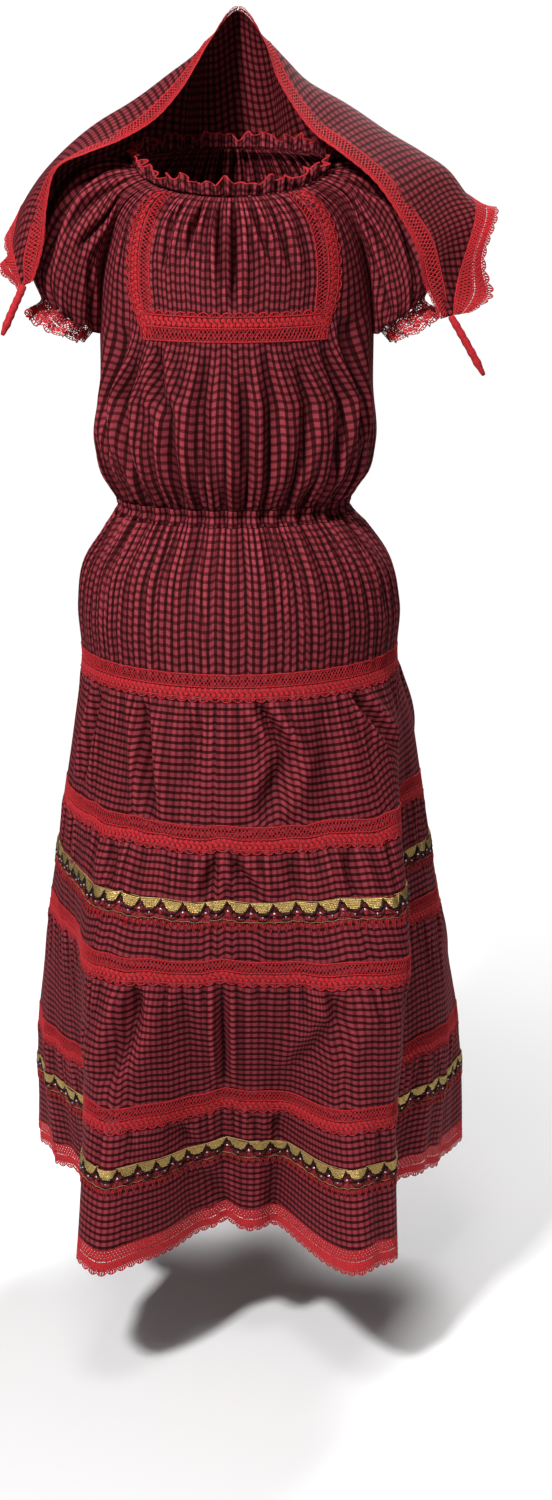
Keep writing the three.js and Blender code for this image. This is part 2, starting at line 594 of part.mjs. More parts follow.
function addSkirt(dress) {
  const half = LACE_WIDTH / 2;
  const under = (band) => [band - SEAM / 2, band - half];
  const above = (band) => [band + half, band + SEAM / 2];
  const [first, second, third, fourth] = BANDS;
  const tiers = [
    { name: "tier_2", rows: [...under(first), ...above(second)] },
    { name: "tier_3", rows: [...under(second), TRIMS[0].top, TRIMS[0].bottom, ...above(third)] },
    { name: "tier_4", rows: [...under(third), ...above(fourth)] },
    { name: "tier_5", rows: [...under(fourth), TRIMS[1].top, TRIMS[1].bottom, HEM] },
  ];
  const yokeTop = WAIST - CASING / 2 - SEAM;
  const yokeRows = [yokeTop, -392, -430, ...above(first)];
  for (const { name, middle, columns } of HALVES) {
    const yokeColumns = evenly(middle - 90 + sideGap, middle + 90 - sideGap, HALF_COLUMNS);
    dress.add(piece("skirt_yoke_" + name, clothWall(skirt, yokeColumns, yokeRows), gingham));
    for (const tier of tiers)
      dress.add(piece(tier.name + "_" + name, clothWall(skirt, columns, tier.rows), gingham));
    BANDS.forEach((band, i) => {
      const gap = i === 0 ? LOOSE_LIE : LIE;
      const rows = [band + half, band - half];
      dress.add(piece("lace_band_" + (i + 1) + "_" + name, laidWall(skirt, columns, rows, LACE, gap), lace));
    });
    TRIMS.forEach(({ top, bottom }, i) => {
      const trim = laidWall(skirt, columns, [top, bottom], BEADING);
      dress.add(piece("beaded_trim_" + (i + 1) + "_" + name, trim, beads));
    });
    const hem = [HEM - SEAM, HEM - LACE_WIDTH];
    dress.add(piece("hem_lace_" + name, laceWall(skirt, columns, hem), lace));
  }
}

function addKerchief(dress) {
  const columns = evenly(-KERCHIEF_TIP, KERCHIEF_TIP, KERCHIEF_COLUMNS);
  const rows = [0, DOWN.lace, 0.3, DOWN.ridge, 0.55, DOWN.back, 0.85, 1];
  const edging = surface(kerchiefEdging, STEP.kerchief, STEP.share);
  dress.add(piece("kerchief", clothWall(kerchief, columns, rows), gingham));
  const halves = [
    { name: "left", columns: columns.slice(0, KERCHIEF_COLUMNS / 2 + 1) },
    { name: "right", columns: columns.slice(KERCHIEF_COLUMNS / 2) },
  ];
  for (const half of halves) {
    const inset = half.name === "left" ? -0.001 : 0.001;
    const us = half.columns.map((u) => (Math.abs(u) < 1e-6 ? u + inset : u));
    const front = laidWall(kerchief, us, [-DOWN.lace, 0, DOWN.lace], LACE);
    dress.add(piece("kerchief_lace_" + half.name, front, lace));
    dress.add(piece("kerchief_edging_" + half.name, laceWall(edging, us, [1.012, 2]), lace));
  }
  for (const { side, u, apart, end } of TAILS) {
    const tip = kerchief.at(u, 0.5);
    const away = tip.clone().sub(kerchief.at(u * 0.98, 0.5)).normalize();
    const start = tip.addScaledVector(away, apart);
    const finish = new THREE.Vector3(...end);
    const bend = start.clone().lerp(finish, 0.4).add(new THREE.Vector3(0, -2, 2));
    const path = new THREE.CatmullRomCurve3([start, bend, finish]);
    const round = new THREE.Shape();
    round.absellipse(0, 0, TAIL.width / 2, TAIL.thickness / 2, 0, 2 * Math.PI);
    const options = { steps: 6, curveSegments: 3, bevelEnabled: false, extrudePath: path };
    dress.add(piece("kerchief_tail_" + side, new THREE.ExtrudeGeometry(round, options), lace));
  }
}

const dress = new THREE.Group();
addBodice(dress);
addNeckAndWaist(dress);
addSleeves(dress);
addSkirt(dress);
addKerchief(dress);

export default dress;
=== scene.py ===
"""A tiered gingham dress with gathered neck and waist, puffed sleeves, lace bands, beaded trims
and its matching kerchief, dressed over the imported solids.

The tables below are in millimetres and degrees. An angle goes round the dress from the middle
of the front (0) by the wearer's left hand (90). Meshes are made in metres."""

import math

import bpy
import numpy as np
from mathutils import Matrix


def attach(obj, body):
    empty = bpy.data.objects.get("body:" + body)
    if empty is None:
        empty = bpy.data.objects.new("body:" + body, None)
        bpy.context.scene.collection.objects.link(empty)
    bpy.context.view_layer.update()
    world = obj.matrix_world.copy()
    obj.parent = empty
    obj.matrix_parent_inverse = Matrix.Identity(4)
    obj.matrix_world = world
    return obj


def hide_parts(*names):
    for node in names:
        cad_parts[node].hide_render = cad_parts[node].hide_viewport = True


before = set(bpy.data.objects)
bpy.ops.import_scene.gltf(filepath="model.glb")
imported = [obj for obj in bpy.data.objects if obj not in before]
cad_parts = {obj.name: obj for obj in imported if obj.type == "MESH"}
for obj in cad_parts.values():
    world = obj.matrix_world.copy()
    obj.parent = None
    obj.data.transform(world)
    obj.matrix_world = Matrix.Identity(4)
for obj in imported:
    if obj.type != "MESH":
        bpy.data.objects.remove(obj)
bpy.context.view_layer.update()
MM = 0.001


def in_scene(name, data):
    """A new object, put in the scene."""
    made = bpy.data.objects.new(name, data)
    bpy.context.scene.collection.objects.link(made)
    return made


# The camera of the photograph.
camera = in_scene("camera", bpy.data.cameras.new("camera"))
camera.location = (0.046, -2.56, 0.09)
camera.rotation_euler = (math.radians(90 - 16), 0, 0)
camera.data.lens = 56.4
camera.data.sensor_width = 36
bpy.context.scene.camera = camera
bpy.context.scene.view_settings.view_transform = "Standard"

# Heights of the seams, from the neckline down, and of the trims' two edges.
UNDERARM, WAIST, HEM = -177, -361, -1143
BANDS = [-531, -688, -831, -998]
TRIMS = [(-752, -785), (-1050, -1084)]

# The waist casing's height, the lace's width and the cloth's thickness, how far lace lies over the
# middle of the cloth, how much cloth it covers under a seam, and the body's radius at the arms.
CASING, LACE_WIDTH, CLOTH = 18, 30, 0.8
LACE_LIFT, UNDER_LACE = CLOTH / 2 + 0.4, 12
BODY_RADIUS = 140

# Numbers of gathers or waves round the waist, the neck, a sleeve and a cuff.
WAIST_GATHERS, NECK_RUFFLES, SLEEVE_GATHERS, CUFF_RUFFLES = 36, 48, 12, 10

# The outline at each height: z, reach to the left, right, front and back, and how far behind
# the middle the widest line lies.
SECTIONS = np.array([
    (-177, 143, 151, 133, 110, 0),
    (-230, 144, 151, 132, 112, 0),
    (-292, 151, 154, 129, 113, 0),
    (-322, 143, 146, 121, 104, 0),
    (-345, 130, 130, 106, 88, 0),
    (-361, 125, 124, 100, 82, 0),
    (-385, 139, 144, 115, 98, 0),
    (-420, 163, 170, 134, 120, 0),
    (-470, 173, 183, 151, 140, 2),
    (-531, 170, 181, 161, 149, 4),
    (-610, 181, 201, 177, 166, 8),
    (-688, 194, 213, 190, 182, 12),
    (-831, 219, 236, 207, 212, 20),
    (-998, 243, 260, 210, 240, 28),
    (-1180, 247, 264, 204, 264, 33),
], float)

# The crests and hollows of the hanging skirt: angle at the first band and at the hem, and how
# far each stands out at the second, third and fourth band and at the hem.
FLUTES = np.array([
    (-6, -5, 6, 8, -38, -74),
    (5, 4, 7, 9, -37, -56),
    (18, 15, 8, 18, -26, -56),
    (38, 23, 16, 50, 44, 60),
    (60, 30, 25, 60, 52, 66),
    (80, 49, -18, -28, -46, -58),
    (98, 90, 0, -2, -10, -20),
    (124, 118, 5, 12, 22, 32),
    (142, 142, -5, -10, -18, -24),
    (160, 161, 6, 11, 22, 32),
    (180, 179, -5, -11, -22, -30),
    (200, 198, 6, 12, 24, 34),
    (218, 218, -5, -10, -18, -24),
    (238, 238, 5, 10, 18, 28),
    (266, 265, 0, -2, -10, -20),
    (284, 307, -2, -14, -44, -58),
    (310, 335, 2, 34, 46, 62),
    (342, 346, 5, 14, -14, -40),
], float)

# Lines on the front bodice: t, bib's inner and outer line and the raglan seam, in degrees.
FRONT_LINES = np.array([
    (0, 31, 45, 52),
    (0.15, 36, 52, 64),
    (0.35, 38, 54, 72),
    (0.575, 37, 52, 79),
    (0.76, 35, 49, 84),
    (1, 36, 50, 90),
    (1.35, 49.5, 67.5, 90),
])
# The bib's lines in columns of the panel, which run from 0 in the middle to 1 at the seam.
BIB_INNER, BIB_OUTER = 20 / 36, 28 / 36

# The sleeve's top line from neck to cuff: t, x, y, z, and its puff to the front and back.
SLEEVE_TOP = np.array([
    (0, 102, -12, 4, 0),
    (0.25, 134, -12, 6, 13),
    (0.5, 170, -10, -10, 31),
    (0.75, 200, -8, -52, 48),
    (1, 214, -6, -108, 54),
    (1.1, 203, -6, -134, 45),
    (1.3, 222, -6, -157, 54),
])
# The cuff and the end of its lace: t, then the way out from the body and the height under the arm.
CUFF, CUFF_LACE_END = 1.1, 1.3
CUFF_INSIDE, CUFF_LACE_INSIDE = (9, -173), (22, -183)
# The gap at a raglan seam, how far the sleeve stands out there, and the gap at other seams.
RAGLAN_SEAM, RAGLAN_LAP, SEAM = 1.0, 2.1, 0.3

# The kerchief: place along the long edge, then the front edge, the ridge over the shoulder,
# the back and the short edge, each as x, y, z.
KERCHIEF = np.array([
    (-1, -212, -73, -124, -214, -70, -125, -216, -67, -126, -218, -64, -127),
    (-0.9, -198, -72, -78, -210, -61, -80, -220, -50, -84, -229, -38, -91),
    (-0.8, -192, -70, -37, -213, -34, -41, -224, -20, -56, -233, -6, -76),
    (-0.7, -180, -66, -2, -203, 2, -14, -216, 18, -26, -226, 30, -42),
    (-0.6, -150, -60, 13, -181, 20, 12, -201, 46, -8, -210, 60, -34),
    (-0.5, -115, -50, 27, -146, 32, 40, -176, 82, -8, -184, 92, -48),
    (-0.4, -80, -36, 48, -113, 42, 62, -146, 98, -14, -152, 106, -90),
    (-0.3, -54, -20, 76, -76, 48, 86, -114, 107, -18, -120, 116, -130),
    (-0.2, -37, 0, 102, -44, 46, 108, -78, 112, -22, -84, 123, -180),
    (-0.1, -22, 24, 127, -22, 42, 130, -38, 114, -24, -42, 126, -240),
    (0, 6, 46, 157, 5, 60, 143, 2, 114, -26, 0, 127, -272),
    (0.1, 33, 24, 126, 33, 42, 129, 42, 114, -24, 42, 126, -240),
    (0.2, 47, 0, 91, 57, 46, 107, 84, 112, -22, 86, 123, -180),
    (0.3, 64, -22, 62, 84, 50, 82, 122, 107, -20, 124, 116, -130),
    (0.4, 87, -42, 34, 127, 46, 57, 158, 98, -18, 160, 106, -88),
    (0.5, 114, -58, 15, 163, 34, 36, 190, 80, -14, 197, 92, -52),
    (0.6, 149, -70, -13, 202, 24, 12, 217, 48, -12, 225, 62, -38),
    (0.7, 176, -80, -49, 230, 6, -14, 240, 16, -20, 247, 24, -30),
    (0.8, 195, -84, -83, 232, -40, -60, 246, -26, -54, 257, -14, -50),
    (0.9, 203, -84, -117, 215, -74, -116, 226, -62, -116, 236, -52, -116),
    (1, 224, -80, -159, 226, -78, -158, 228, -76, -157, 230, -74, -156),
])
# The last place before a tip, how far the lace passes the long edge, and the share of the cloth
# that it covers. Then the width of the short edges' lace at each place.
KERCHIEF_TIP, KERCHIEF_OVERHANG, LACED = 0.985, 6, 0.2
EDGING = np.array([
    (-1, 12), (-0.93, 30), (-0.8, 30), (0, 30), (0.8, 28), (0.86, 27), (0.91, 50), (0.96, 34), (1, 12),
])
# The rolled tails: the place of the tip, and where each roll ends.
TAILS = {"right": (0.985, (-242, -62, -172)), "left": (-0.985, (265, -70, -213))}

# Creases of the skirt: angle and height of the upper end, angle and height of the lower
# end, half width and depth.
SKIRT_CREASES = [
    (-34, -548, -27, -672, 9, 5.0),
    (9, -548, 17, -600, 8, 5.5),
    (17, -596, 8, -668, 12, 3.5),
    (45, -548, 56, -612, 9, 5.0),
    (-58, -552, -64, -660, 10, 3.5),
    (-12, -556, -16, -640, 14, 2.0),
    (30, -560, 28, -676, 15, 2.2),
    (-5, -704, -8, -750, 7, 3.5),
    (-1, -704, 7, -748, 7, 3.5),
    (31, -706, 31, -750, 7, 2.5),
    (-40, -706, -38, -750, 9, 2.5),
    (16, -706, 18, -748, 9, 2.0),
    (-25, -848, -25, -890, 7, 3.6),
    (-22, -850, -30, -960, 10, 3.5),
    (-3, -846, -3, -975, 5, 3.4),
    (23, -848, 24, -885, 7, 4.0),
    (24, -872, 17, -950, 9, 3.6),
    (-42, -905, -39, -960, 8, 3.0),
    (-14, -852, -12, -960, 13, 2.2),
    (40, -850, 44, -980, 12, 2.4),
    (-16, -1016, -14, -1046, 7, 2.2),
    (12, -1016, 14, -1046, 8, 2.0),
    (-9, -1088, -7, -1138, 10, 2.0),
    (104, -548, 110, -640, 11, 4.0),
    (132, -548, 128, -612, 9, 5.0),
    (151, -550, 157, -668, 12, 3.5),
    (176, -548, 171, -604, 8, 5.0),
    (194, -552, 199, -650, 12, 3.0),
    (221, -548, 214, -618, 9, 4.5),
    (247, -550, 252, -664, 11, 3.5),
    (120, -706, 117, -748, 8, 3.0),
    (146, -704, 150, -750, 8, 3.2),
    (172, -706, 170, -746, 9, 2.4),
    (205, -704, 209, -750, 8, 3.0),
    (236, -706, 232, -750, 9, 2.6),
    (112, -848, 116, -930, 11, 3.2),
    (139, -850, 134, -965, 13, 2.8),
    (168, -848, 172, -900, 9, 3.8),
    (190, -852, 187, -975, 13, 2.6),
    (214, -848, 220, -925, 10, 3.4),
    (244, -850, 240, -960, 12, 2.6),
    (128, -1014, 130, -1046, 8, 2.2),
    (182, -1014, 179, -1046, 9, 2.4),
    (226, -1014, 228, -1046, 8, 2.2),
]

# Creases of the bodice panels: column and t of the upper end, column and t of the lower end,
# half width in millimetres and depth.
FRONT_CREASES = [
    (-0.09, 0.05, -0.05, 0.62, 5, 3.2),
    (0.04, 0.03, 0.01, 0.74, 6, 3.6),
    (0.16, 0.05, 0.26, 0.45, 5, 3.0),
    (-0.24, 0.04, -0.3, 0.4, 5, 3.0),
    (0.33, 0.05, 0.38, 0.5, 6, 2.4),
    (-0.42, 0.06, -0.46, 0.5, 6, 2.2),
    (-0.5, 1.0, -0.3, 1.45, 8, 3.5),
    (-0.16, 1.05, -0.1, 1.95, 8, 3.0),
    (0.05, 1.2, 0.08, 1.97, 6, 3.4),
    (0.2, 1.02, 0.15, 1.9, 7, 3.0),
    (-0.3, 1.3, -0.26, 1.96, 6, 3.4),
    (0.38, 1.1, 0.3, 1.95, 7, 3.2),
    (0.6, 1.0, 0.5, 1.9, 8, 3.6),
    (-0.62, 1.1, -0.5, 1.95, 8, 3.6),
    (0.8, 0.85, 0.7, 1.6, 9, 4.0),
    (-0.8, 0.9, -0.72, 1.7, 9, 4.0),
]
BACK_CREASES = [
    (-0.13, 0.05, -0.1, 0.7, 6, 3.2),
    (0.07, 0.04, 0.09, 0.9, 6, 3.6),
    (0.3, 0.04, 0.34, 0.6, 6, 3.0),
    (-0.36, 0.05, -0.4, 0.72, 6, 3.0),
    (0.56, 0.06, 0.6, 0.7, 7, 2.8),
    (-0.6, 0.06, -0.66, 0.6, 7, 2.8),
    (-0.45, 1.05, -0.4, 1.95, 7, 3.2),
    (-0.18, 1.2, -0.15, 1.97, 7, 3.4),
    (0.04, 1.0, 0.02, 1.9, 8, 3.0),
    (0.26, 1.15, 0.22, 1.96, 7, 3.4),
    (0.5, 1.05, 0.42, 1.92, 8, 3.2),
    (-0.7, 1.1, -0.62, 1.8, 9, 3.6),
    (0.76, 1.0, 0.68, 1.85, 9, 3.6),
]
# Creases of a sleeve: w and t of the two ends, half width and depth.
SLEEVE_CREASES = {
    "left": [
        (0.12, 0.1, 0.2, 0.72, 6, 4.5), (0.24, 0.06, 0.34, 0.6, 6, 4.0), (0.34, 0.3, 0.3, 0.95, 7, 4.5),
        (0.46, 0.08, 0.48, 0.7, 7, 3.5), (0.6, 0.06, 0.62, 0.66, 6, 4.0), (0.72, 0.2, 0.7, 0.92, 7, 4.5),
        (0.86, 0.1, 0.8, 0.8, 6, 4.0), (0.08, 0.5, 0.16, 0.98, 7, 4.0), (0.93, 0.5, 0.88, 1.0, 6, 3.0),
    ],
    "right": [
        (0.1, 0.12, 0.22, 0.66, 6, 4.5), (0.22, 0.05, 0.3, 0.7, 7, 4.0), (0.38, 0.2, 0.32, 0.9, 7, 4.5),
        (0.5, 0.06, 0.52, 0.6, 6, 3.5), (0.63, 0.08, 0.66, 0.74, 6, 4.0), (0.76, 0.3, 0.72, 0.96, 7, 4.0),
        (0.88, 0.12, 0.83, 0.7, 6, 4.0), (0.14, 0.62, 0.1, 1.0, 7, 4.0), (0.95, 0.55, 0.9, 0.98, 6, 3.0),
    ],
}

# How strongly the creases of the tables show, and the millimetres in a degree of the skirt, in
# half a bodice panel and round a sleeve, with the widths their cloth was cut to and the height
# of a row of the skirt's mesh.
SKIRT_CREASING, BODICE_CREASING, SLEEVE_CREASING = 3.2, 2.7, 1.7
SKIRT_DEGREE, BODICE_HALF, SLEEVE_ROUND = 3.2, 200, 330
BODICE_HALF_CUT, SLEEVE_CUT = 235, 400
ROW_STEP = 6.4


def through(x, xs, ys):
    """A smooth curve through knots, at x. The knots are one row, or a row for each x."""
    x, xs, ys = np.asarray(x, float), np.asarray(xs, float), np.asarray(ys, float)
    if xs.ndim == 1 and xs[0] > xs[-1]:
        xs, ys = xs[::-1], ys[::-1]
    shape = np.broadcast_shapes(x.shape, xs.shape[:-1], ys.shape[:-1])
    x = np.broadcast_to(x, shape)
    xs = np.broadcast_to(xs, shape + xs.shape[-1:])
    ys = np.broadcast_to(ys, shape + ys.shape[-1:])
    step = np.diff(xs)
    rise = np.diff(ys) / step
    before, after = step[..., :-1], step[..., 1:]
    middle = (rise[..., :-1] * after + rise[..., 1:] * before) / (before + after)
    slope = np.concatenate([rise[..., :1], middle, rise[..., -1:]], -1)
    k = (x[..., None] > xs[..., 1:-1]).sum(-1)[..., None]
    take = lambda values, index: np.take_along_axis(values, index, -1)[..., 0]
    x0, width, y0, y1, m0, m1 = (
        take(xs, k), take(step, k), take(ys, k), take(ys, k + 1), take(slope, k), take(slope, k + 1),
    )
    share = (x - x0) / width
    two, three = share**2, share**3
    inside = (
        y0 * (2 * three - 3 * two + 1) + y1 * (3 * two - 2 * three)
        + m0 * width * (three - 2 * two + share) + m1 * width * (three - two)
    )
    below = y0 + m0 * (x - x0)
    above = y1 + m1 * (x - x0 - width)
    return np.where(share < 0, below, np.where(share > 1, above, inside))


def column_of(table, k, x):
    return through(x, table[:, 0], table[:, k])


def point(x, y, z):
    return np.stack(np.broadcast_arrays(x, y, z), -1).astype(float)


def smooth(x, low, high):
    share = np.clip((x - low) / (high - low), 0, 1)
    return share * share * (3 - 2 * share)


def bell(x, width):
    """1 in the middle, which fades out over this width on both sides."""
    return np.exp(-((x / width) ** 2))


def form(angle, z):
    sine, cosine = np.sin(np.radians(angle)), np.cos(np.radians(angle))
    left, right, front, back, behind = (column_of(SECTIONS, k, z) for k in range(1, 6))
    half = np.where(sine > 0, right, left)
    depth = np.where(cosine > 0, front + behind, back - behind)
    return point(half * sine, behind - depth * cosine, z)


def pushed_out(points, angle, distance):
    away = point(np.sin(np.radians(angle)), -np.cos(np.radians(angle)), 0)
    return points + away * np.asarray(distance)[..., None]


def flute(angle, z):
    z = np.asarray(z, float)
    fall = np.clip((BANDS[0] - z) / (BANDS[0] - HEM), 0, 1)[..., None]
    turn = FLUTES[:, 1] + (FLUTES[:, 0] - FLUTES[:, 1]) * (1 - fall) ** 2
    levels = [BANDS[0], BANDS[1], BANDS[2], BANDS[3], HEM]
    depths = np.stack([through(z, levels, [0, *row[2:]]) for row in FLUTES], -1)
    depths = depths * (z <= BANDS[0])[..., None]
    turn = np.concatenate([turn[..., -3:] - 360, turn, turn[..., :3] + 360], -1)
    depths = np.concatenate([depths[..., -3:], depths, depths[..., :3]], -1)
    return through((angle + 10) % 360 - 10, turn, depths)


def uneven(angle, *parts):
    """Uneven gathers round the dress: parts of a share, a number of waves and a turn."""
    return sum(share * np.cos(np.radians(angle) * waves + turn) for share, waves, turn in parts)


def creased(across, down, scale, creases):
    """How far creases stand in or out. The scale turns a step across into millimetres."""
    total = 0
    for a0, d0, a1, d1, half, depth in creases:
        share = (down - d0) / (d1 - d0)
        off = (across - a0 - (a1 - a0) * share) * scale
        length = np.sin(np.pi * np.clip(share, 0, 1)) ** 0.6
        ridge = 0.55 * bell(np.abs(off) - 1.7 * half, half)
        total = total + depth * length * (ridge - bell(off, half))
    return total


def gathers(across, down, width, count, seed, lengths, depth):
    """Narrow folds that run from a gathered seam, uneven in place, lean, length and depth."""
    draw = np.random.default_rng(seed)
    total = 0
    for k in range(count):
        place = (k + draw.uniform(-0.4, 0.4)) * width / count
        lean = draw.uniform(-0.14, 0.14)
        length = lengths[0] + (lengths[1] - lengths[0]) * draw.uniform(0, 1) ** 2
        deep = depth * draw.uniform(0.35, 1)
        half = draw.uniform(1.7, 3.6)
        off = np.abs((across - place - lean * down + width / 2) % width - width / 2)
        fade = np.clip(1 - down / length, 0, 1) ** 0.8 * (down > -1)
        ridge = 0.6 * bell(off - 1.8 * half, half)
        total = total + deep * fade * (ridge - bell(off, half))
    return total


def drawn_at_waist(z):
    """The depth of the main gathers that the waist's elastic draws in."""
    return 3.2 * bell(z - WAIST, 62)


def skirt(angle, z):
    """The hanging skirt: its form, its folds, and the gathers under each seam."""
    z = np.asarray(z, float)
    # Under the waist.
    at_waist = drawn_at_waist(z) * np.cos(np.radians(angle) * WAIST_GATHERS)
    drawn = bell(z - WAIST, 120) * smooth(WAIST - z, -10, 16)
    fine = 1.7 * drawn * uneven(angle, (0.6, 58, 0.4), (0.5, 83, 1.9), (0.5, 21, 2.2))
    round_waist = 3.1
    fine = fine + gathers(angle * round_waist, WAIST - 6 - z, 360 * round_waist, 96, 11, (14, 165), 3.4)
    # Under each band, where the wider tier is gathered, and the puckers just above it.
    for i, band in enumerate(BANDS):
        below = band - z - UNDER_LACE
        under = smooth(below, -4, 6) * np.exp(-(np.maximum(below, 0) / (30 + 4 * i))) * (z > band - 150)
        fine = fine + 2.2 * under * uneven(
            angle, (0.5, 29 + 6 * i, 1.3 * i), (0.45, 47 + 4 * i, 2.1), (0.35, 71, 0.7 * i)
        )
        scale = 3.3 + 0.4 * i
        lines = gathers(angle * scale, below, 360 * scale, 60 + 8 * i, 21 + i, (14, 120), 3.2)
        fine = fine + lines * (z > band - 160)
        above = z - band - UNDER_LACE
        drawn = smooth(above, -6, 4) * np.exp(-(np.maximum(above, 0) / 22)) * (z < band + 90)
        fine = fine + drawn * uneven(angle, (0.6, 33, 0.5 + i), (0.5, 51, 1.1))
    # The creases, then the waves of the lowest tiers and of the seams' heights.
    dents = SKIRT_CREASING * creased((angle + 90) % 360 - 90, z, SKIRT_DEGREE, SKIRT_CREASES)
    low = smooth(-z, 900, 1150)
    fine = fine + 4.5 * low * uneven(angle, (0.6, 17, 0.9), (0.5, 26, 2.4), (0.3, 41, 0.2))
    points = pushed_out(form(angle, z), angle, flute(angle, z) + at_waist + fine + dents)
    sewn = smooth(-z, 545, 720) * (1 + 0.7 * low)
    points[..., 2] += 2.2 * sewn * uneven(angle, (0.6, 13, 0.3), (0.5, 22, 1.2), (0.35, 37, 2.0))
    return points


def neckline(angle):
    sine, cosine = np.sin(np.radians(angle)), np.cos(np.radians(angle))
    depth = np.where(cosine > 0, 93, 80)
    lift = np.where(cosine > 0, -33 * np.abs(cosine) ** 0.85, -10 * cosine)
    return point(102 * sine, -12 - depth * cosine, 4 + lift)


def shoulders(angle, t):
    neck, chest = neckline(angle), form(angle, UNDERARM)
    spread = np.sin(np.pi / 2 * np.clip(t, 0, 1)) ** 0.5
    mixed = neck + (chest - neck) * np.asarray(spread)[..., None]
    mixed[..., 2] = neck[..., 2] + (UNDERARM - neck[..., 2]) * t
    return mixed


def column_angle(column, t):
    place, at = np.abs(column), np.minimum(t, 1.35)
    seam = np.where(np.asarray(t) >= 1, 90, column_of(FRONT_LINES, 3, at))
    inner, outer = column_of(FRONT_LINES, 1, at), column_of(FRONT_LINES, 2, at)
    first = inner * place / BIB_INNER
    second = inner + (outer - inner) * (place - BIB_INNER) / (BIB_OUTER - BIB_INNER)
    third = outer + (seam - outer) * (place - BIB_OUTER) / (1 - BIB_OUTER)
    return np.sign(column) * np.where(place < BIB_INNER, first, np.where(place < BIB_OUTER, second, third))


def gap_angle(gap):
    """The angle that a gap takes up round the body."""
    return np.degrees(gap / BODY_RADIUS)


def bodice(column, t, middle, creases):
    t = np.asarray(t, float)
    gap = np.where(t < 1, RAGLAN_SEAM, SEAM)
    seam = column_angle(1.0, t)
    angle = middle + column_angle(column, t) * (1 - gap_angle(gap / 2) / seam)
    crest = np.cos((column + 1) * np.pi * WAIST_GATHERS / 2)
    z = UNDERARM + (WAIST + CASING / 2 + 2.5 * SEAM - UNDERARM) * (t - 1)
    upper = pushed_out(shoulders(angle, np.minimum(t, 1)), angle, 1.7 * np.exp(-t / 0.3) * crest)
    lower = pushed_out(form(angle, np.minimum(z, UNDERARM)), angle, drawn_at_waist(z) * crest)
    body = np.where((t < 1)[..., None], upper, lower)
    edge = smooth(1 - np.abs(column), 0, 0.1)
    turn = column * 90
    fine_neck = 2.0 * np.exp(-t / 0.32) * uneven(turn, (0.6, 29, 0.3), (0.5, 43, 1.2)) * edge
    fine_waist = 2.2 * bell(z - WAIST, 80) * uneven(turn, (0.6, 58, 0.3), (0.5, 83, 1.2))
    dents = BODICE_CREASING * creased(column, t, BODICE_HALF, creases) * edge
    seed = 31 if middle == 0 else 41
    from_neck = gathers(column * BODICE_HALF, 190 * t - 4, 2 * BODICE_HALF, 44, seed, (18, 130), 2.6)
    from_waist = gathers(column * 205, 184 * (2 - t) - 2, 410, 50, seed + 1, (16, 150), 3.6)
    dents = dents + (from_neck + from_waist) * edge
    ends = smooth(t, 0, 0.05) * smooth(2 - t, 0, 0.05)
    return pushed_out(body, angle, fine_neck + (fine_waist + dents) * ends)


def direction(points):
    """The outward direction at each point of a grid, whose rows run down and columns across."""
    down = np.gradient(points, axis=0)
    across = np.gradient(points, axis=1)
    normal = np.cross(down, across)
    return normal / np.maximum(np.linalg.norm(normal, axis=-1, keepdims=True), 1e-9)


def seam_angle(t):
    t = np.asarray(t, float)
    edge = column_angle(1.0, np.minimum(t, 1)) + gap_angle(RAGLAN_SEAM / 2)
    return np.minimum(edge, 90 - gap_angle(SEAM))


def sleeve_seam(side, t, back):
    angle = side * (180 - seam_angle(t) if back else seam_angle(t))
    up_to = np.minimum(t, 1)
    near = np.maximum(up_to, 0.01)
    across = shoulders(angle + 0.1, near) - shoulders(angle - 0.1, near)
    down = shoulders(angle, near + 0.004) - shoulders(angle, near - 0.004)
    normal = np.cross(down, across)
    normal /= np.linalg.norm(normal, axis=-1, keepdims=True)
    start = shoulders(angle, up_to) + normal * (RAGLAN_LAP * np.clip(up_to / 0.1, 0, 1))[..., None]
    past = np.clip((t - 1) / (CUFF - 1), 0, 1)
    lace = np.clip((t - CUFF) / (CUFF_LACE_END - CUFF), 0, 1)
    z = CUFF_INSIDE[1] + (CUFF_LACE_INSIDE[1] - CUFF_INSIDE[1]) * lace
    out = CUFF_INSIDE[0] + (CUFF_LACE_INSIDE[0] - CUFF_INSIDE[0]) * lace
    body = column_of(SECTIONS, 2 if side > 0 else 1, z)
    end = point(side * (body + out), start[..., 1], z)
    return start + (end - start) * past[..., None]


def plain_sleeve(side, w, t):
    t = np.broadcast_to(t, np.broadcast_shapes(np.shape(w), np.shape(t))).astype(float)
    w = np.broadcast_to(w, t.shape)
    front, back = sleeve_seam(side, t, False), sleeve_seam(side, t, True)
    middle, ends = (front + back) / 2, (front - back) / 2
    x, y, z, puff = (column_of(SLEEVE_TOP, k, t) for k in range(1, 5))
    top = point(side * x, y, z) - middle
    rise = (1 - np.cos(2 * np.pi * w)) / 2
    made = middle + ends * np.cos(np.pi * w)[..., None] + top * rise[..., None]
    made[..., 1] -= puff * np.sin(2 * np.pi * w)
    return made


def sleeve(side, w, t):
    """A sleeve, from its front seam (w = 0) over the top to its back seam (1)."""
    made = plain_sleeve(side, w, t)
    near = np.clip(1 - t / 0.4, 0, 1)
    turn = side * (seam_angle(0.0) + (180 - 2 * seam_angle(0.0)) * np.clip(w, 0, 1))
    to_neckline = neckline(turn) - plain_sleeve(side, np.clip(w, 0, 1), np.zeros_like(t))
    return made + to_neckline * near[..., None]


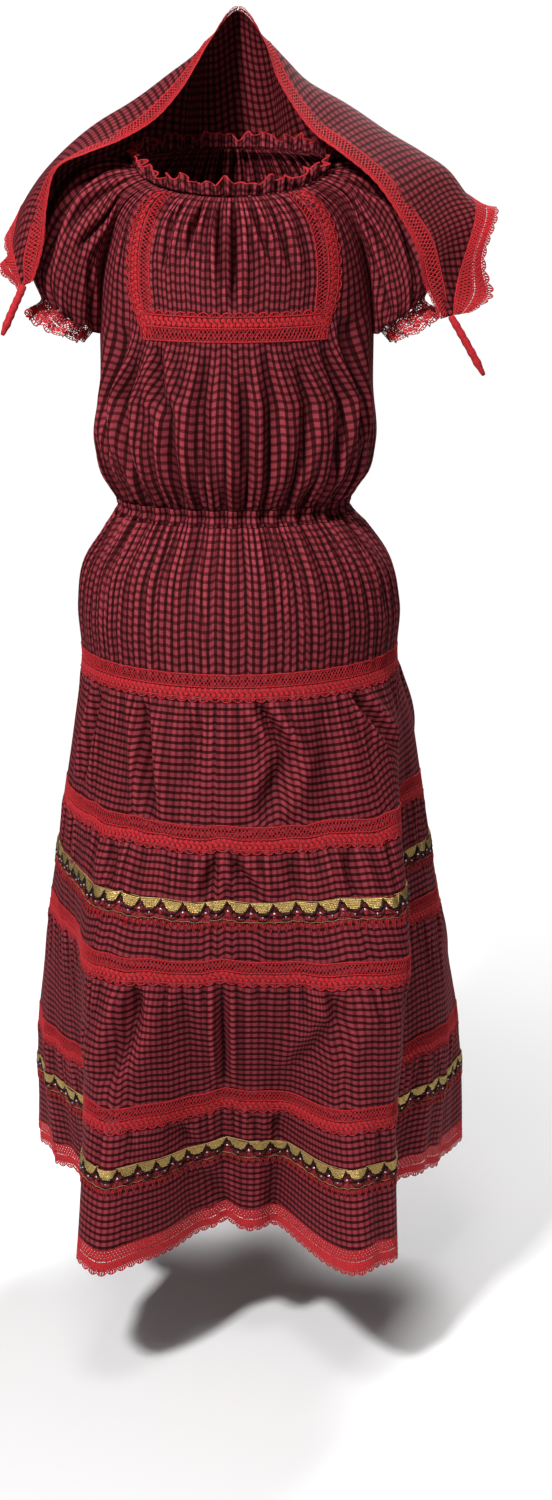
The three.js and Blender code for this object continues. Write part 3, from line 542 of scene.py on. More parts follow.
def centripetal(knots, places):
    """A centripetal spline through four knots, each an array of points, at places from 0 to 1."""
    start, end = 2 * knots[0] - knots[1], 2 * knots[3] - knots[2]
    chain = [start, *knots, end]
    made = []
    for place in places:
        k = min(int(place * 3), 2)
        t = place * 3 - k
        p0, p1, p2, p3 = chain[k : k + 4]
        d0, d1, d2 = (
            np.maximum(((b - a) ** 2).sum(-1, keepdims=True) ** 0.25, 1e-6)
            for a, b in ((p0, p1), (p1, p2), (p2, p3))
        )
        t1 = ((p1 - p0) / d0 - (p2 - p0) / (d0 + d1) + (p2 - p1) / d1) * d1
        t2 = ((p2 - p1) / d1 - (p3 - p1) / (d1 + d2) + (p3 - p2) / d2) * d1
        second, third = 3 * (p2 - p1) - 2 * t1 - t2, 2 * (p1 - p2) + t1 + t2
        made.append(p1 + t1 * t + second * t**2 + third * t**3)
    return np.stack(made)


def kerchief_grid(s, rows):
    """The kerchief's points: a column for each place s and a row for each value of down."""
    knots = [
        point(*(column_of(KERCHIEF, 1 + 3 * line + axis, s) for axis in range(3)))
        for line in range(4)
    ]
    places = np.linspace(0, 1, 121)
    dense = centripetal(knots, places)
    steps = np.linalg.norm(np.diff(dense, axis=0), axis=-1)
    run = np.concatenate([np.zeros((1, len(s))), np.cumsum(steps, 0)])
    width = column_of(EDGING, 1, s)
    out = np.zeros((len(rows), len(s), 3))
    for i in range(len(s)):
        length = run[-1, i]
        share = min((LACE_WIDTH - KERCHIEF_OVERHANG) / length, 0.6)
        laced = np.interp(share, run[:, i] / length, places)
        knots_down = [0, LACED, 0.4, 0.7, 1]
        third, two_thirds = (max(k / 3, laced + k * (1 - laced) / 3) for k in (1, 2))
        knots_place = [0, laced, third, two_thirds, 1]
        first = dense[1, i] - dense[0, i]
        last = dense[-1, i] - dense[-2, i]
        first /= np.linalg.norm(first)
        last = last / np.linalg.norm(last) + (0.8 * np.clip(s[i], 0, 1), 0, -0.2)
        last /= np.linalg.norm(last)
        for j, down in enumerate(rows):
            if down < 0:
                out[j, i] = dense[0, i] + first * (down / LACED * KERCHIEF_OVERHANG)
            elif down > 1:
                out[j, i] = dense[-1, i] + last * ((down - 1) * width[i])
            else:
                place = np.interp(down, knots_down, knots_place)
                out[j, i] = [np.interp(place, places, dense[:, i, axis]) for axis in range(3)]
    return out


def kerchief_surface(s, rows):
    """The kerchief with the soft ripples of its cloth and the ruffles of its short edges."""
    rows = np.asarray(rows, float)
    points = kerchief_grid(s, rows)
    inside = np.sin(np.pi * np.clip(rows, 0, 1))[:, None] ** 2
    ripple = 1.6 * np.sin(s * 21) * inside * smooth(np.abs(s), 0.12, 0.4)
    ruffle = 6 * np.clip(rows - 1, 0, 1)[:, None] * np.sin(-s * 44)
    return points + direction(points) * (ripple + ruffle)[..., None]


def lengths(points, axis):
    """The distance run along a grid's rows or columns, from 0."""
    steps = np.linalg.norm(np.diff(points, axis=axis), axis=-1)
    pad = [(1, 0) if k == axis else (0, 0) for k in range(2)]
    return np.cumsum(np.pad(steps, pad), axis)


def cloth_uv(along, down):
    """Cloth coordinates for a grid from those along it and those down it."""
    return np.stack(np.broadcast_arrays(along, down), -1)


def mesh_object(name, vertices, faces, uvs=None, material=None):
    mesh = bpy.data.meshes.new(name)
    mesh.from_pydata((np.asarray(vertices) * MM).tolist(), [], [tuple(map(int, face)) for face in faces])
    if uvs is not None:
        layer = mesh.uv_layers.new(name="cloth")
        corner = np.zeros(len(mesh.loops), np.int32)
        mesh.loops.foreach_get("vertex_index", corner)
        layer.data.foreach_set("uv", (np.asarray(uvs)[corner] * MM).astype(np.float32).ravel())
    if material:
        mesh.materials.append(material)
    mesh.update()
    mesh.shade_smooth()
    return in_scene(name, mesh)


def grid_faces(rows, columns, start=0):
    i, j = np.meshgrid(np.arange(columns - 1), np.arange(rows - 1))
    a = (start + j * columns + i).ravel()
    return np.stack([a, a + columns, a + columns + 1, a + 1], -1)


def painted_shade_from_bends(points, facing):
    """How sharply a grid of cloth is folded in (above 0) or out (below 0) across its columns: the share of
    painted shade in its hollows and of painted highlight on its crests.
    """
    wide = np.concatenate([points[:, :1], points[:, :1], points, points[:, -1:], points[:, -1:]], 1)
    middle = (wide[:, 1:-3] + wide[:, 3:-1] + wide[:, :-4] + wide[:, 4:]) / 4 - points
    step = np.linalg.norm(wide[:, 3:-1] - wide[:, 1:-3], axis=-1) / 2
    bend = (middle * facing).sum(-1) * 2 / np.maximum(2.5 * step**2, 0.5)
    bend[:, :2] = bend[:, -2:] = 0
    return np.where(bend > 0, bend / (bend + 0.09), bend / (0.12 - bend))


def shell(name, points, uv, material):
    """A thin wall of cloth along a grid of points, closed at its rims."""
    rows, columns = points.shape[:2]
    facing = direction(points)
    outside = points + facing * CLOTH / 2
    inside = points - facing * CLOTH / 2
    count = rows * columns
    outer = grid_faces(rows, columns)
    inner = grid_faces(rows, columns, count)[:, ::-1]
    index = np.arange(count).reshape(rows, columns)
    rims = []
    edges = (index[0], False), (index[-1], True), (index[:, 0], True), (index[:, -1], False)
    for edge, turned in edges:
        a, b = edge[:-1], edge[1:]
        quad = np.stack([a, b, b + count, a + count], -1)
        rims.append(quad[:, ::-1] if turned else quad)
    faces = np.concatenate([outer, inner, *rims])
    vertices = np.concatenate([outside.reshape(-1, 3), inside.reshape(-1, 3)])
    flat = uv.reshape(-1, 2)
    made = mesh_object(name, vertices, faces, np.concatenate([flat, flat]), material)
    # Painted shade for the hollows of folds and painted highlight for their crests, kept as a point
    # attribute that the gingham reads; the inside takes the opposite sign.
    painted_fold_shade = painted_shade_from_bends(points, facing).ravel()
    layer = made.data.attributes.new("painted_fold_shade", "FLOAT", "POINT")
    layer.data.foreach_set("value", np.concatenate([painted_fold_shade, -painted_fold_shade]).astype(np.float32))
    return made


# Materials

# The gingham's colours and sizes, in metres: how far its stripes wander, how soft their edges
# are, and the painted highlight on the crests of folds and the painted shade in their hollows.
LIGHT_SQUARE, DARK_SQUARE = (0.24, 0.032, 0.043, 1), (0.022, 0.0018, 0.0026, 1)
STRIPE_WANDER, STRIPE_EDGE, THREAD_PITCH = 0.0016, 0.45, 0.00045
CREST_PAINTED_HIGHLIGHT, TROUGH_PAINTED_SHADE = 1.55, 0.28
BRIGHTEST = 1.25


def material_tree(name):
    """A new material, with its node tree and its main shader."""
    material = bpy.data.materials.new(name)
    material.use_nodes = True
    return material, material.node_tree, material.node_tree.nodes["Principled BSDF"]


def fill(tree, node, inputs):
    """Gives inputs of a node a value, or joins them to the output of another node."""
    for key, value in inputs.items():
        if isinstance(value, bpy.types.NodeSocket):
            tree.links.new(value, node.inputs[key])
        else:
            node.inputs[key].default_value = value


def add(tree, kind, inputs, output=0, **settings):
    """The output of a new node with these inputs and settings."""
    node = tree.nodes.new(kind)
    for key, value in settings.items():
        setattr(node, key, value)
    fill(tree, node, inputs)
    return node.outputs[output]


def number(tree, operation, *values, **settings):
    """The output of a math node."""
    return add(tree, "ShaderNodeMath", dict(enumerate(values)), operation=operation, **settings)


def vector(tree, operation, *values, **scale):
    """The output of a vector math node."""
    inputs = {**dict(enumerate(values)), **scale}
    return add(tree, "ShaderNodeVectorMath", inputs, operation=operation)


def ranged(tree, value, **limits):
    """A value brought from one range to another, eased at its ends where no new range is given."""
    inputs = {"Value": value, **{key.replace("_", " "): limit for key, limit in limits.items()}}
    ease = "LINEAR" if "To_Min" in limits else "SMOOTHSTEP"
    return add(tree, "ShaderNodeMapRange", inputs, interpolation_type=ease)


def gingham_material(name, turn, repeat, warp_dark, weft_dark):
    """Checked cotton: light and dark squares, and two kinds of mixed squares between them.

    warp_dark is the colour where only the stripes down the cloth are dark, weft_dark where only
    those across it are."""
    material, tree, shader = material_tree(name)
    uv = add(tree, "ShaderNodeUVMap", {}, uv_map="cloth")
    turned = add(tree, "ShaderNodeMapping", {0: uv, "Rotation": (0, 0, math.radians(turn))})
    wander = add(tree, "ShaderNodeTexNoise", {"Vector": turned, "Scale": 22, "Detail": 1}, "Color")
    weave = vector(tree, "MULTIPLY_ADD", wander, (STRIPE_WANDER, STRIPE_WANDER, 0), turned)
    place = add(tree, "ShaderNodeSeparateXYZ", {0: weave}).node.outputs

    def stripe(axis):
        wave = number(tree, "MULTIPLY", place[axis], 2 * math.pi / repeat[axis])
        return ranged(tree, number(tree, "SINE", wave), From_Min=0, From_Max=STRIPE_EDGE)

    def mixed(share, first, second):
        return add(tree, "ShaderNodeMix", {0: share, 6: first, 7: second}, 2, data_type="RGBA")

    down, across = stripe(0), stripe(1)
    light = mixed(down, LIGHT_SQUARE, (*warp_dark, 1))
    dark = mixed(down, (*weft_dark, 1), DARK_SQUARE)
    check = mixed(across, light, dark)
    slub = add(tree, "ShaderNodeTexNoise", {"Vector": turned, "Scale": 420, "Detail": 3}, "Fac")
    tone = ranged(tree, slub, To_Min=0.72, To_Max=1.3)
    # Painted shade darkens the cloth in the hollows of its folds and a painted highlight lightens their
    # crests, read from the attribute that shell stores.
    painted_fold_shade = add(tree, "ShaderNodeAttribute", {}, "Fac", attribute_name="painted_fold_shade")
    depth = ranged(tree, painted_fold_shade, From_Min=-1, From_Max=1, To_Min=CREST_PAINTED_HIGHLIGHT, To_Max=TROUGH_PAINTED_SHADE)
    colour = vector(tree, "SCALE", check, Scale=number(tree, "MULTIPLY", tone, depth))
    threads = add(tree, "ShaderNodeTexChecker", {"Vector": turned, "Scale": 1 / THREAD_PITCH}, "Fac")
    height = number(tree, "ADD", threads, slub)
    bump = add(tree, "ShaderNodeBump", {"Strength": 0.25, "Distance": 0.0003, "Height": height})
    fill(tree, shader, {
        "Base Color": colour, "Normal": bump, "Roughness": 0.8, "Specular IOR Level": 0.08,
        "Sheen Weight": 0.06, "Sheen Roughness": 0.35, "Sheen Tint": (0.85, 0.12, 0.16, 1),
    })
    return material


def thread_material(name, colour, roughness, sheen=0.03, metallic=0.0, specular=0.15, darkest=0.68):
    """Yarn, lace or beads of one colour, with uneven tone and a fine bump."""
    material, tree, shader = material_tree(name)
    place = add(tree, "ShaderNodeTexCoord", {}, "Object")
    grain = add(tree, "ShaderNodeTexNoise", {"Vector": place, "Scale": 900, "Detail": 2}, "Fac")
    tone = add(tree, "ShaderNodeValToRGB", {0: grain})
    for end, position, share in zip(tone.node.color_ramp.elements, (0.3, 0.7), (darkest, BRIGHTEST)):
        end.position = position
        end.color = (*(min(share * c, 1) for c in colour), 1)
    bump = add(tree, "ShaderNodeBump", {"Strength": 0.4, "Distance": 0.0002, "Height": grain})
    fill(tree, shader, {
        "Base Color": tone, "Normal": bump, "Roughness": roughness, "Metallic": metallic,
        "Specular IOR Level": specular, "Sheen Weight": sheen,
    })
    return material


straight = gingham_material(
    "gingham_straight", 0, (0.0079, 0.0088), (0.052, 0.005, 0.007), (0.092, 0.0095, 0.014)
)
sideways = gingham_material(
    "gingham_sideways", 0, (0.0075, 0.0076), (0.135, 0.014, 0.02), (0.046, 0.004, 0.006)
)
bias = gingham_material(
    "gingham_kerchief", 7, (0.0079, 0.0088), (0.065, 0.006, 0.008), (0.09, 0.008, 0.01)
)
lace_red = thread_material("lace_red", (0.5, 0.021, 0.028), 0.8, darkest=0.55)
gold = thread_material(
    "gold_sequins", (0.72, 0.5, 0.17), 0.28, sheen=0, metallic=0.8, specular=0.5, darkest=0.3
)
black = thread_material("black_cord", (0.012, 0.006, 0.006), 0.5)
silver = thread_material("silver_beads", (0.8, 0.76, 0.72), 0.15, sheen=0, metallic=0.6, specular=0.5)
dark_red = thread_material("red_bead_lace", (0.3, 0.012, 0.016), 0.4)
gold_thread = thread_material("pale_gold_thread", (0.5, 0.3, 0.13), 0.5)

# Repeats of lace and trim, laid along a strip of the dress by one tree


def strip_tree():
    """Lays repeats along a strip: x along it, y across it from the top, z out of it."""
    tree = bpy.data.node_groups.new("repeats along a strip", "GeometryNodeTree")
    sockets = {}
    tree.interface.new_socket("Geometry", in_out="INPUT", socket_type="NodeSocketGeometry")
    for label, kind in (
        ("Repeat", "Object"), ("Strip", "Object"), ("Pitch", "Float"), ("Count", "Int"),
        ("Length", "Float"), ("Width", "Float"), ("Material", "Material"),
    ):
        made = tree.interface.new_socket(label, in_out="INPUT", socket_type="NodeSocket" + kind)
        sockets[label] = made.identifier
    tree.interface.new_socket("Geometry", in_out="OUTPUT", socket_type="NodeSocketGeometry")
    given = tree.nodes.new("NodeGroupInput").outputs
    repeat, strip = (
        add(
            tree, "GeometryNodeObjectInfo", {"Object": given[label]}, "Geometry",
            transform_space="ORIGINAL",
        )
        for label in ("Repeat", "Strip")
    )
    step = add(tree, "ShaderNodeCombineXYZ", {0: given["Pitch"]})
    row = add(tree, "GeometryNodeMeshLine", {"Count": given["Count"], "Offset": step})
    spread = add(tree, "GeometryNodeInstanceOnPoints", {"Points": row, "Instance": repeat})
    real = add(tree, "GeometryNodeRealizeInstances", {0: spread})
    position = add(tree, "GeometryNodeInputPosition", {})
    place = add(tree, "ShaderNodeSeparateXYZ", {0: position}).node.outputs
    along, across = (
        number(tree, "DIVIDE", place[axis], given[size], use_clamp=True)
        for axis, size in enumerate(("Length", "Width"))
    )
    flat = add(tree, "ShaderNodeCombineXYZ", {0: along, 1: across})
    uv = add(tree, "GeometryNodeInputNamedAttribute", {"Name": "cloth"}, data_type="FLOAT_VECTOR")
    on_strip, outwards = (
        add(
            tree, "GeometryNodeSampleUVSurface",
            {0: strip, "Value": add(tree, "GeometryNodeInput" + sampled, {}), 2: uv, 3: flat},
            data_type="FLOAT_VECTOR",
        )
        for sampled in ("Position", "Normal")
    )
    total = vector(tree, "ADD", on_strip, vector(tree, "SCALE", outwards, Scale=place[2]))
    placed = add(tree, "GeometryNodeSetPosition", {"Geometry": real, "Position": total})
    finish = add(tree, "GeometryNodeSetMaterial", {"Geometry": placed, "Material": given["Material"]})
    fill(tree, tree.nodes.new("NodeGroupOutput"), {0: finish})
    return tree, sockets


STRIP_TREE, STRIP_SOCKETS = strip_tree()
helpers = []


def strip_surface(name, points, lift):
    """A helper surface for repeats, with its place along and across it from 0 to 1."""
    points = points + direction(points) * lift
    rows, columns = points.shape[:2]
    run = lengths(points, 1)[rows // 2]
    share = cloth_uv(run / run[-1], np.linspace(0, 1, rows)[:, None])
    made = mesh_object(name, points.reshape(-1, 3), grid_faces(rows, columns), share.reshape(-1, 2) / MM)
    helpers.append(made)
    return made, run[-1]


def laid_along(name, strip, length, repeat, pitch, width, material):
    """The repeats of one material laid along a strip, as a plain mesh."""
    count = max(1, round(length / pitch))
    holder = in_scene(name + "_holder", bpy.data.meshes.new(name))
    modifier = holder.modifiers.new("repeats", "NODES")
    modifier.node_group = STRIP_TREE
    values = {
        "Repeat": repeat, "Strip": strip, "Pitch": length / count * MM, "Count": count,
        "Length": length * MM, "Width": width * MM, "Material": material,
    }
    for label, value in values.items():
        modifier[STRIP_SOCKETS[label]] = value
    bpy.context.view_layer.update()
    depsgraph = bpy.context.evaluated_depsgraph_get()
    mesh = bpy.data.meshes.new_from_object(holder.evaluated_get(depsgraph))
    holder.modifiers.remove(modifier)
    bpy.data.objects.remove(holder)
    mesh.name = name
    return in_scene(name, mesh)


class Repeat:
    """One repeat of lace or trim, drawn flat from threads and small domes."""

    def __init__(self):
        self.vertices, self.faces = [], []

    def thread(self, a, b, wide, high, low=0.0):
        """A thread from a to b: three long sides, flat underneath."""
        a, b = np.array(a, float), np.array(b, float)
        along = (b - a) / np.linalg.norm(b - a)
        side = np.array([-along[1], along[0]]) * wide / 2
        start = len(self.vertices)
        for end in (a, b):
            for offset, z in ((side, low), (0 * side, low + high), (-side, low)):
                self.vertices.append((*(end + offset), z))
        s = start
        self.faces += [(s, s + 1, s + 4, s + 3), (s + 1, s + 2, s + 5, s + 4), (s + 2, s, s + 3, s + 5)]

    def line(self, points, wide, high, low=0.0):
        for a, b in zip(points[:-1], points[1:]):
            self.thread(a, b, wide, high, low)

    def dome(self, x, y, half_x, half_y, high, sides=8, low=0.0):
        start = len(self.vertices)
        self.vertices.append((x, y, low + high))
        for k in range(sides):
            turn = 2 * math.pi * k / sides
            self.vertices.append((x + half_x * math.cos(turn), y + half_y * math.sin(turn), low))
        for k in range(sides):
            self.faces.append((start, start + 1 + (k + 1) % sides, start + 1 + k))

    def built(self, name):
        # Across runs down the strip, so the faces are turned to look outwards.
        made = mesh_object(name, self.vertices, [face[::-1] for face in self.faces])
        helpers.append(made)
        return made


LACE_PITCH = 12


def lace_repeat(name, net):
    """12 mm of lace: an edge thread, a net, two rows of medallions and a scalloped edge.

    net is the width of the net's threads, which the other threads and the medallions follow."""
    lace = Repeat()
    medallion, link, cross = 1.95 + 0.32 * net, 0.75 * net, 0.6 + 0.75 * net
    lace.thread((0, 0.8), (LACE_PITCH, 0.8), 1.5, 0.6)
    for k in range(3):
        lace.line([(4 * k, 1), (4 * k + 4, 7), (4 * k + 8, 13)], net, 0.5)
        lace.line([(4 * k, 1), (4 * k - 4, 7), (4 * k - 8, 13)], net, 0.5)
    lace.thread((0, 13.6), (LACE_PITCH, 13.6), 1.5, 0.6)
    for x in (0, LACE_PITCH / 2):
        lace.dome(x + 1.5, 17.0, medallion, medallion, 0.8)
        lace.dome(x + 4.5, 21.6, medallion, medallion, 0.8)
        lace.thread((x + 4.5, 14), (x + 4.5, 19.6), link, 0.5)
        lace.thread((x + 1.5, 19.4), (x + 1.5, 25), link, 0.5)
        lace.thread((x - 1.5, 17.2), (x + 4.5, 21.6), cross, 0.5)
        lace.thread((x + 1.5, 17.2), (x + 4.5, 21.6), cross, 0.5)
    lace.thread((0, 24.9), (LACE_PITCH, 24.9), 1.3, 0.6)
    arc = [(LACE_PITCH * k / 6, 25.6 + 3.6 * math.sin(math.pi * k / 6) ** 0.7) for k in range(7)]
    lace.line(arc, 1.3, 0.6)
    for x, end_x, end_y in ((3, 3.4, 28.3), (6, 6, 29), (9, 8.6, 28.3)):
        lace.thread((x, 25), (end_x, end_y), link, 0.5)
    return lace.built(name)


TRIM_PITCH, TRIM_WIDTH = 25, 33


def trim_repeats():
    """25 mm of the beaded trim, a repeat for each material."""
    gold_part, cord, beads, lace, thread = (Repeat() for _ in range(5))

    def half_round(x):
        return 11.5 * (1 - abs(2 * x / TRIM_PITCH - 1) ** 2.2)

    thread.thread((0, 0.6), (TRIM_PITCH, 0.6), 0.8, 0.9)
    for row in range(6):
        y = 2.0 + 1.75 * row
        for k in range(14):
            x = 0.9 + 1.8 * k + (0.9 if row % 2 else 0)
            if half_round(x) > y - 0.6 and x < TRIM_PITCH:
                gold_part.dome(x, y, 1.05, 1.0, 1.1, sides=5, low=0.5)
    edge = [(TRIM_PITCH * k / 12, 2.6 + half_round(TRIM_PITCH * k / 12)) for k in range(13)]
    cord.line(edge, 1.3, 1.5, 0.2)
    peak = [(0, 4), (4, 12), (8, 16.5), (12.5, 18), (17, 16.5), (21, 12), (25, 4)]
    cord.line([(x, y + 2.5) for x, y in peak], 0.9, 1.2, 0.2)
    for x, y in ((0.2, 8.0), (-2.2, 12.5), (2.4, 12.5), (0, 15.5)):
        lace.dome(x, y, 1.7, 1.7, 1.2, sides=6)
    beads.dome(0, 11.6, 1.35, 1.2, 1.9, sides=6, low=0.4)
    beads.dome(12.5, 16.2, 1.0, 0.9, 1.7, sides=6, low=0.3)
    for k in range(9):
        x = 1.4 + 2.78 * k
        lace.dome(x, 19.2 + 0.7 * math.cos(2 * math.pi * x / TRIM_PITCH), 1.25, 1.1, 1.1, sides=5)
    thread.line([(0, 21.6), (6, 20.8), (12.5, 22), (19, 20.8), (TRIM_PITCH, 21.6)], 0.5, 0.7)
    for centre in (4.2, 12.5, 20.8):
        drop = [(-3.4, 22), (-1.2, 28), (0, 32.2), (1.2, 28), (3.4, 22)]
        lace.line([(centre + x, y) for x, y in drop], 1.3, 0.9)
        lace.dome(centre, 25, 1.7, 2.2, 1.0, sides=6)
    return [
        ("sequins", gold_part.built("sequin_repeat"), gold),
        ("cord", cord.built("cord_repeat"), black),
        ("beads", beads.built("bead_repeat"), silver),
        ("lace", lace.built("red_point_repeat"), dark_red),
        ("thread", thread.built("thread_repeat"), gold_thread),
    ]


# The net is open where the lace lies on the dress, closer at the cuffs and on the kerchief's long
# edge, and closest where it hangs free, at the hem and on the kerchief's short edges.
SEWN_LACE = lace_repeat("sewn_lace_repeat", 0.95)
CUFF_LACE = lace_repeat("cuff_lace_repeat", 1.5)
FREE_LACE = lace_repeat("free_lace_repeat", 2.7)
TRIM_REPEATS = trim_repeats()


def fitted(made, nodes):
    """A piece of the dress, which stands for these nodes."""
    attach(made, "root")
    if nodes:
        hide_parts(*nodes)
    return made


def lace_strip(name, points, lift, nodes, repeat=SEWN_LACE):
    """Lace laid along a grid of points, whose rows run from its net edge to its scallops."""
    strip, length = strip_surface(name + "_strip", points, lift)
    made = laid_along(name, strip, length, repeat, LACE_PITCH, LACE_WIDTH, lace_red)
    return fitted(made, nodes)


def row_uv(points, row, fullness=1.0):
    """Cloth coordinates of a grid: along one of its rows, and down each column."""
    return cloth_uv(lengths(points, 1)[row] * fullness, -lengths(points, 0))


def skirt_ring(rows):
    """The skirt all round, at rows of heights."""
    return skirt(AROUND[None, :], rows[:, None])


AROUND = np.linspace(-90 + gap_angle(SEAM / 2), 270 - gap_angle(SEAM / 2), 601)


def ring(name, top, bottom, nodes, material):
    """A tier of the skirt, which stands for these nodes."""
    points = skirt_ring(np.linspace(top, bottom, round((top - bottom) / ROW_STEP) + 1))
    made = fitted(shell(name, points, row_uv(points, -1), material), nodes)


def both(name):
    return [name + "_front", name + "_back"]


# The lace bands, trims and hem lace, then the skirt's tiers under them
skirt_lace = []
for i, band in enumerate(BANDS):
    points = skirt_ring(np.linspace(band + LACE_WIDTH / 2, band - LACE_WIDTH / 2, 7))
    skirt_lace.append([lace_strip(f"band_lace_{i + 1}", points, LACE_LIFT, both(f"lace_band_{i + 1}"))])

points = skirt_ring(np.linspace(HEM + 2, HEM - LACE_WIDTH, 8))
hem_lace = lace_strip("lace_at_hem", points, 0.0, both("hem_lace"), FREE_LACE)

trims = []
for i, (top, bottom) in enumerate(TRIMS):
    name = f"beaded_trim_{i + 1}"
    strip, length = strip_surface(name + "_strip", skirt_ring(np.linspace(top, bottom, 8)), LACE_LIFT)
    parts = []
    for label, repeat, finish in TRIM_REPEATS:
        made = laid_along(f"{name}_{label}", strip, length, repeat, TRIM_PITCH, TRIM_WIDTH, finish)
        parts.append(fitted(made, []))
    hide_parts(*both(name))
    trims.append(parts)

top = WAIST - CASING / 2 - SEAM
ring("yoke_cloth", top, BANDS[0] + SEAM / 2, both("skirt_yoke"), straight)
for tier, sewn_on in (
    (2, skirt_lace[1]),
    (3, [*skirt_lace[2], *trims[0]]),
    (4, skirt_lace[3]),
    (5, [hem_lace, *trims[1]]),
):
    top = BANDS[tier - 2] - SEAM / 2
    bottom = HEM if tier == 5 else BANDS[tier - 1] + SEAM / 2
    ring(f"tier_cloth_{tier}", top, bottom, both(f"tier_{tier}"), sideways)

# The waist casing
CASING_ROWS = 9
points = skirt_ring(np.linspace(WAIST + CASING / 2, WAIST - CASING / 2, CASING_ROWS))
tuck = 1.12 * np.abs(np.cos(np.linspace(0, 2 * np.pi, CASING_ROWS))) - 0.8
points = points - direction(points) * tuck[:, None, None]
uv = row_uv(points, CASING_ROWS // 2, fullness=1.38)
casing = fitted(shell("casing_cloth", points, uv, straight), ["waist_casing"])

# The bodice panels and the bib's lace
columns = np.linspace(-1, 1, 281)
t = np.concatenate([np.linspace(0, 1, 33), np.linspace(1, 2, 32)[1:]])
for name, middle, creases in (("front", 0, FRONT_CREASES), ("back", 180, BACK_CREASES)):
    points = bodice(columns[None, :], t[:, None], middle, creases)
    uv = cloth_uv(columns * BODICE_HALF_CUT, -lengths(points, 0))
    made = fitted(shell("bodice_cloth_" + name, points, uv, straight), ["bodice_" + name])

along = np.linspace(0.01, 0.97, 40)
across = np.linspace(0, 1, 7)
fold_in = smooth(along, 0.66, 0.97)
for name, side in (("right", -1), ("left", 1)):
    width = BIB_OUTER - fold_in * 0.13 - BIB_INNER
    column = side * (BIB_INNER + width * across[:, None])
    points = bodice(column, along * np.ones_like(column), 0, FRONT_CREASES)
    # Both strips run so that their lace faces outwards.
    points = points[:, ::-side]
    lace_strip("bib_strip_" + name, points, LACE_LIFT, ["bib_lace_" + name])
t, column = np.meshgrid(np.linspace(0.97, 0.76, 7), np.linspace(0.62, -0.62, 80), indexing="ij")
points = bodice(column, t, 0, FRONT_CREASES)
lace_strip("bib_strip_bottom", points, LACE_LIFT + 0.5, ["bib_lace_bottom"])

# The neck ruffle, with the overlocked thread on its edge
around = np.linspace(0, 360, 721)
height = np.linspace(1, 0, 8)[:, None]
uneven_height = 1 + 0.34 * uneven(around, (0.6, 13, 0.5), (0.5, 29, 1.4), (0.4, 41, 2.6))
wave = (1.2 + 3.1 * height) * (
    0.75 * np.cos(np.radians(around) * NECK_RUFFLES) + 0.8 * uneven(around, (0.6, 31, 0.4), (0.6, 67, 2.1))
)
points = pushed_out(neckline(around)[None], around[None], wave + 1.5 * height)
points[..., 2] += CLOTH / 2 + SEAM + 1.2 + 13 * height * uneven_height[None, :]
uv = row_uv(points, 0, fullness=1.1)
ruffle = fitted(shell("ruffle_cloth", points, uv, straight), ["neck_ruffle"])


def tube(name, path, radius, material, sides=6):
    """A round thread along a path of points."""
    along = np.gradient(path, axis=0)
    along /= np.linalg.norm(along, axis=-1, keepdims=True)
    side = np.cross(along, (0, 0, 1.0))
    side /= np.maximum(np.linalg.norm(side, axis=-1, keepdims=True), 1e-9)
    up = np.cross(side, along)
    turn = np.linspace(0, 2 * np.pi, sides, endpoint=False)
    radius = np.broadcast_to(radius, len(path))
    rings = path[:, None] + radius[:, None, None] * (
        side[:, None] * np.cos(turn)[None, :, None] + up[:, None] * np.sin(turn)[None, :, None]
    )
    faces = []
    for i in range(len(path) - 1):
        for k in range(sides):
            a, b = i * sides + k, i * sides + (k + 1) % sides
            faces.append((a, a + sides, b + sides, b))
    last = (len(path) - 1) * sides
    faces.append(tuple(range(sides)))
    faces.append(tuple(last + k for k in reversed(range(sides))))
    return mesh_object(name, rings.reshape(-1, 3), faces, material=material)


edge = tube("ruffle_edge_thread", points[0], 0.9, lace_red)
fitted(edge, [])

# The sleeves and their cuff lace


def sleeve_grid(side, columns, start, end, rows):
    """A sleeve's w and t and its points, on columns that make its cloth face outwards."""
    t, w = np.meshgrid(np.linspace(start, end, rows), np.linspace(0, 1, columns)[::side], indexing="ij")
    return w, t, sleeve(side, w, t)


def sleeve_folds(name, w, t, seed):
    """How far the gathers and creases of a sleeve stand out."""
    from_cuff = CUFF - t
    fade = np.clip(np.minimum(w, 1 - w) / 0.12, 0, 1)
    at_neck = 1.9 * np.clip(0.25 + t / 0.1, 0, 1) * np.exp(-t / 0.3)
    at_cuff = 2.6 * bell(from_cuff, 0.16)
    crest = np.cos(2 * np.pi * SLEEVE_GATHERS * w)
    drawn = np.exp(-t / 0.25) + bell(from_cuff, 0.2)
    fine = drawn * uneven(w * 360, (0.6, 19, 0.4), (0.5, 31, 1.7))
    inside = smooth(t, 0, 0.06) * smooth(from_cuff, 0, 0.08)
    dents = SLEEVE_CREASING * creased(w, t, SLEEVE_ROUND, SLEEVE_CREASES[name]) * inside
    neck_lines = gathers(w * 300, t * 150 - 6, 300, 26, seed, (15, 90), 3.0) * smooth(t, 0.03, 0.12)
    cuff_lines = gathers(w * SLEEVE_ROUND, from_cuff * 150 - 3, SLEEVE_ROUND, 30, seed + 1, (14, 80), 3.2)
    cuff_lines = cuff_lines * smooth(from_cuff, 0.01, 0.08)
    return fade * ((at_neck + at_cuff) * crest + fine + dents + neck_lines + cuff_lines)


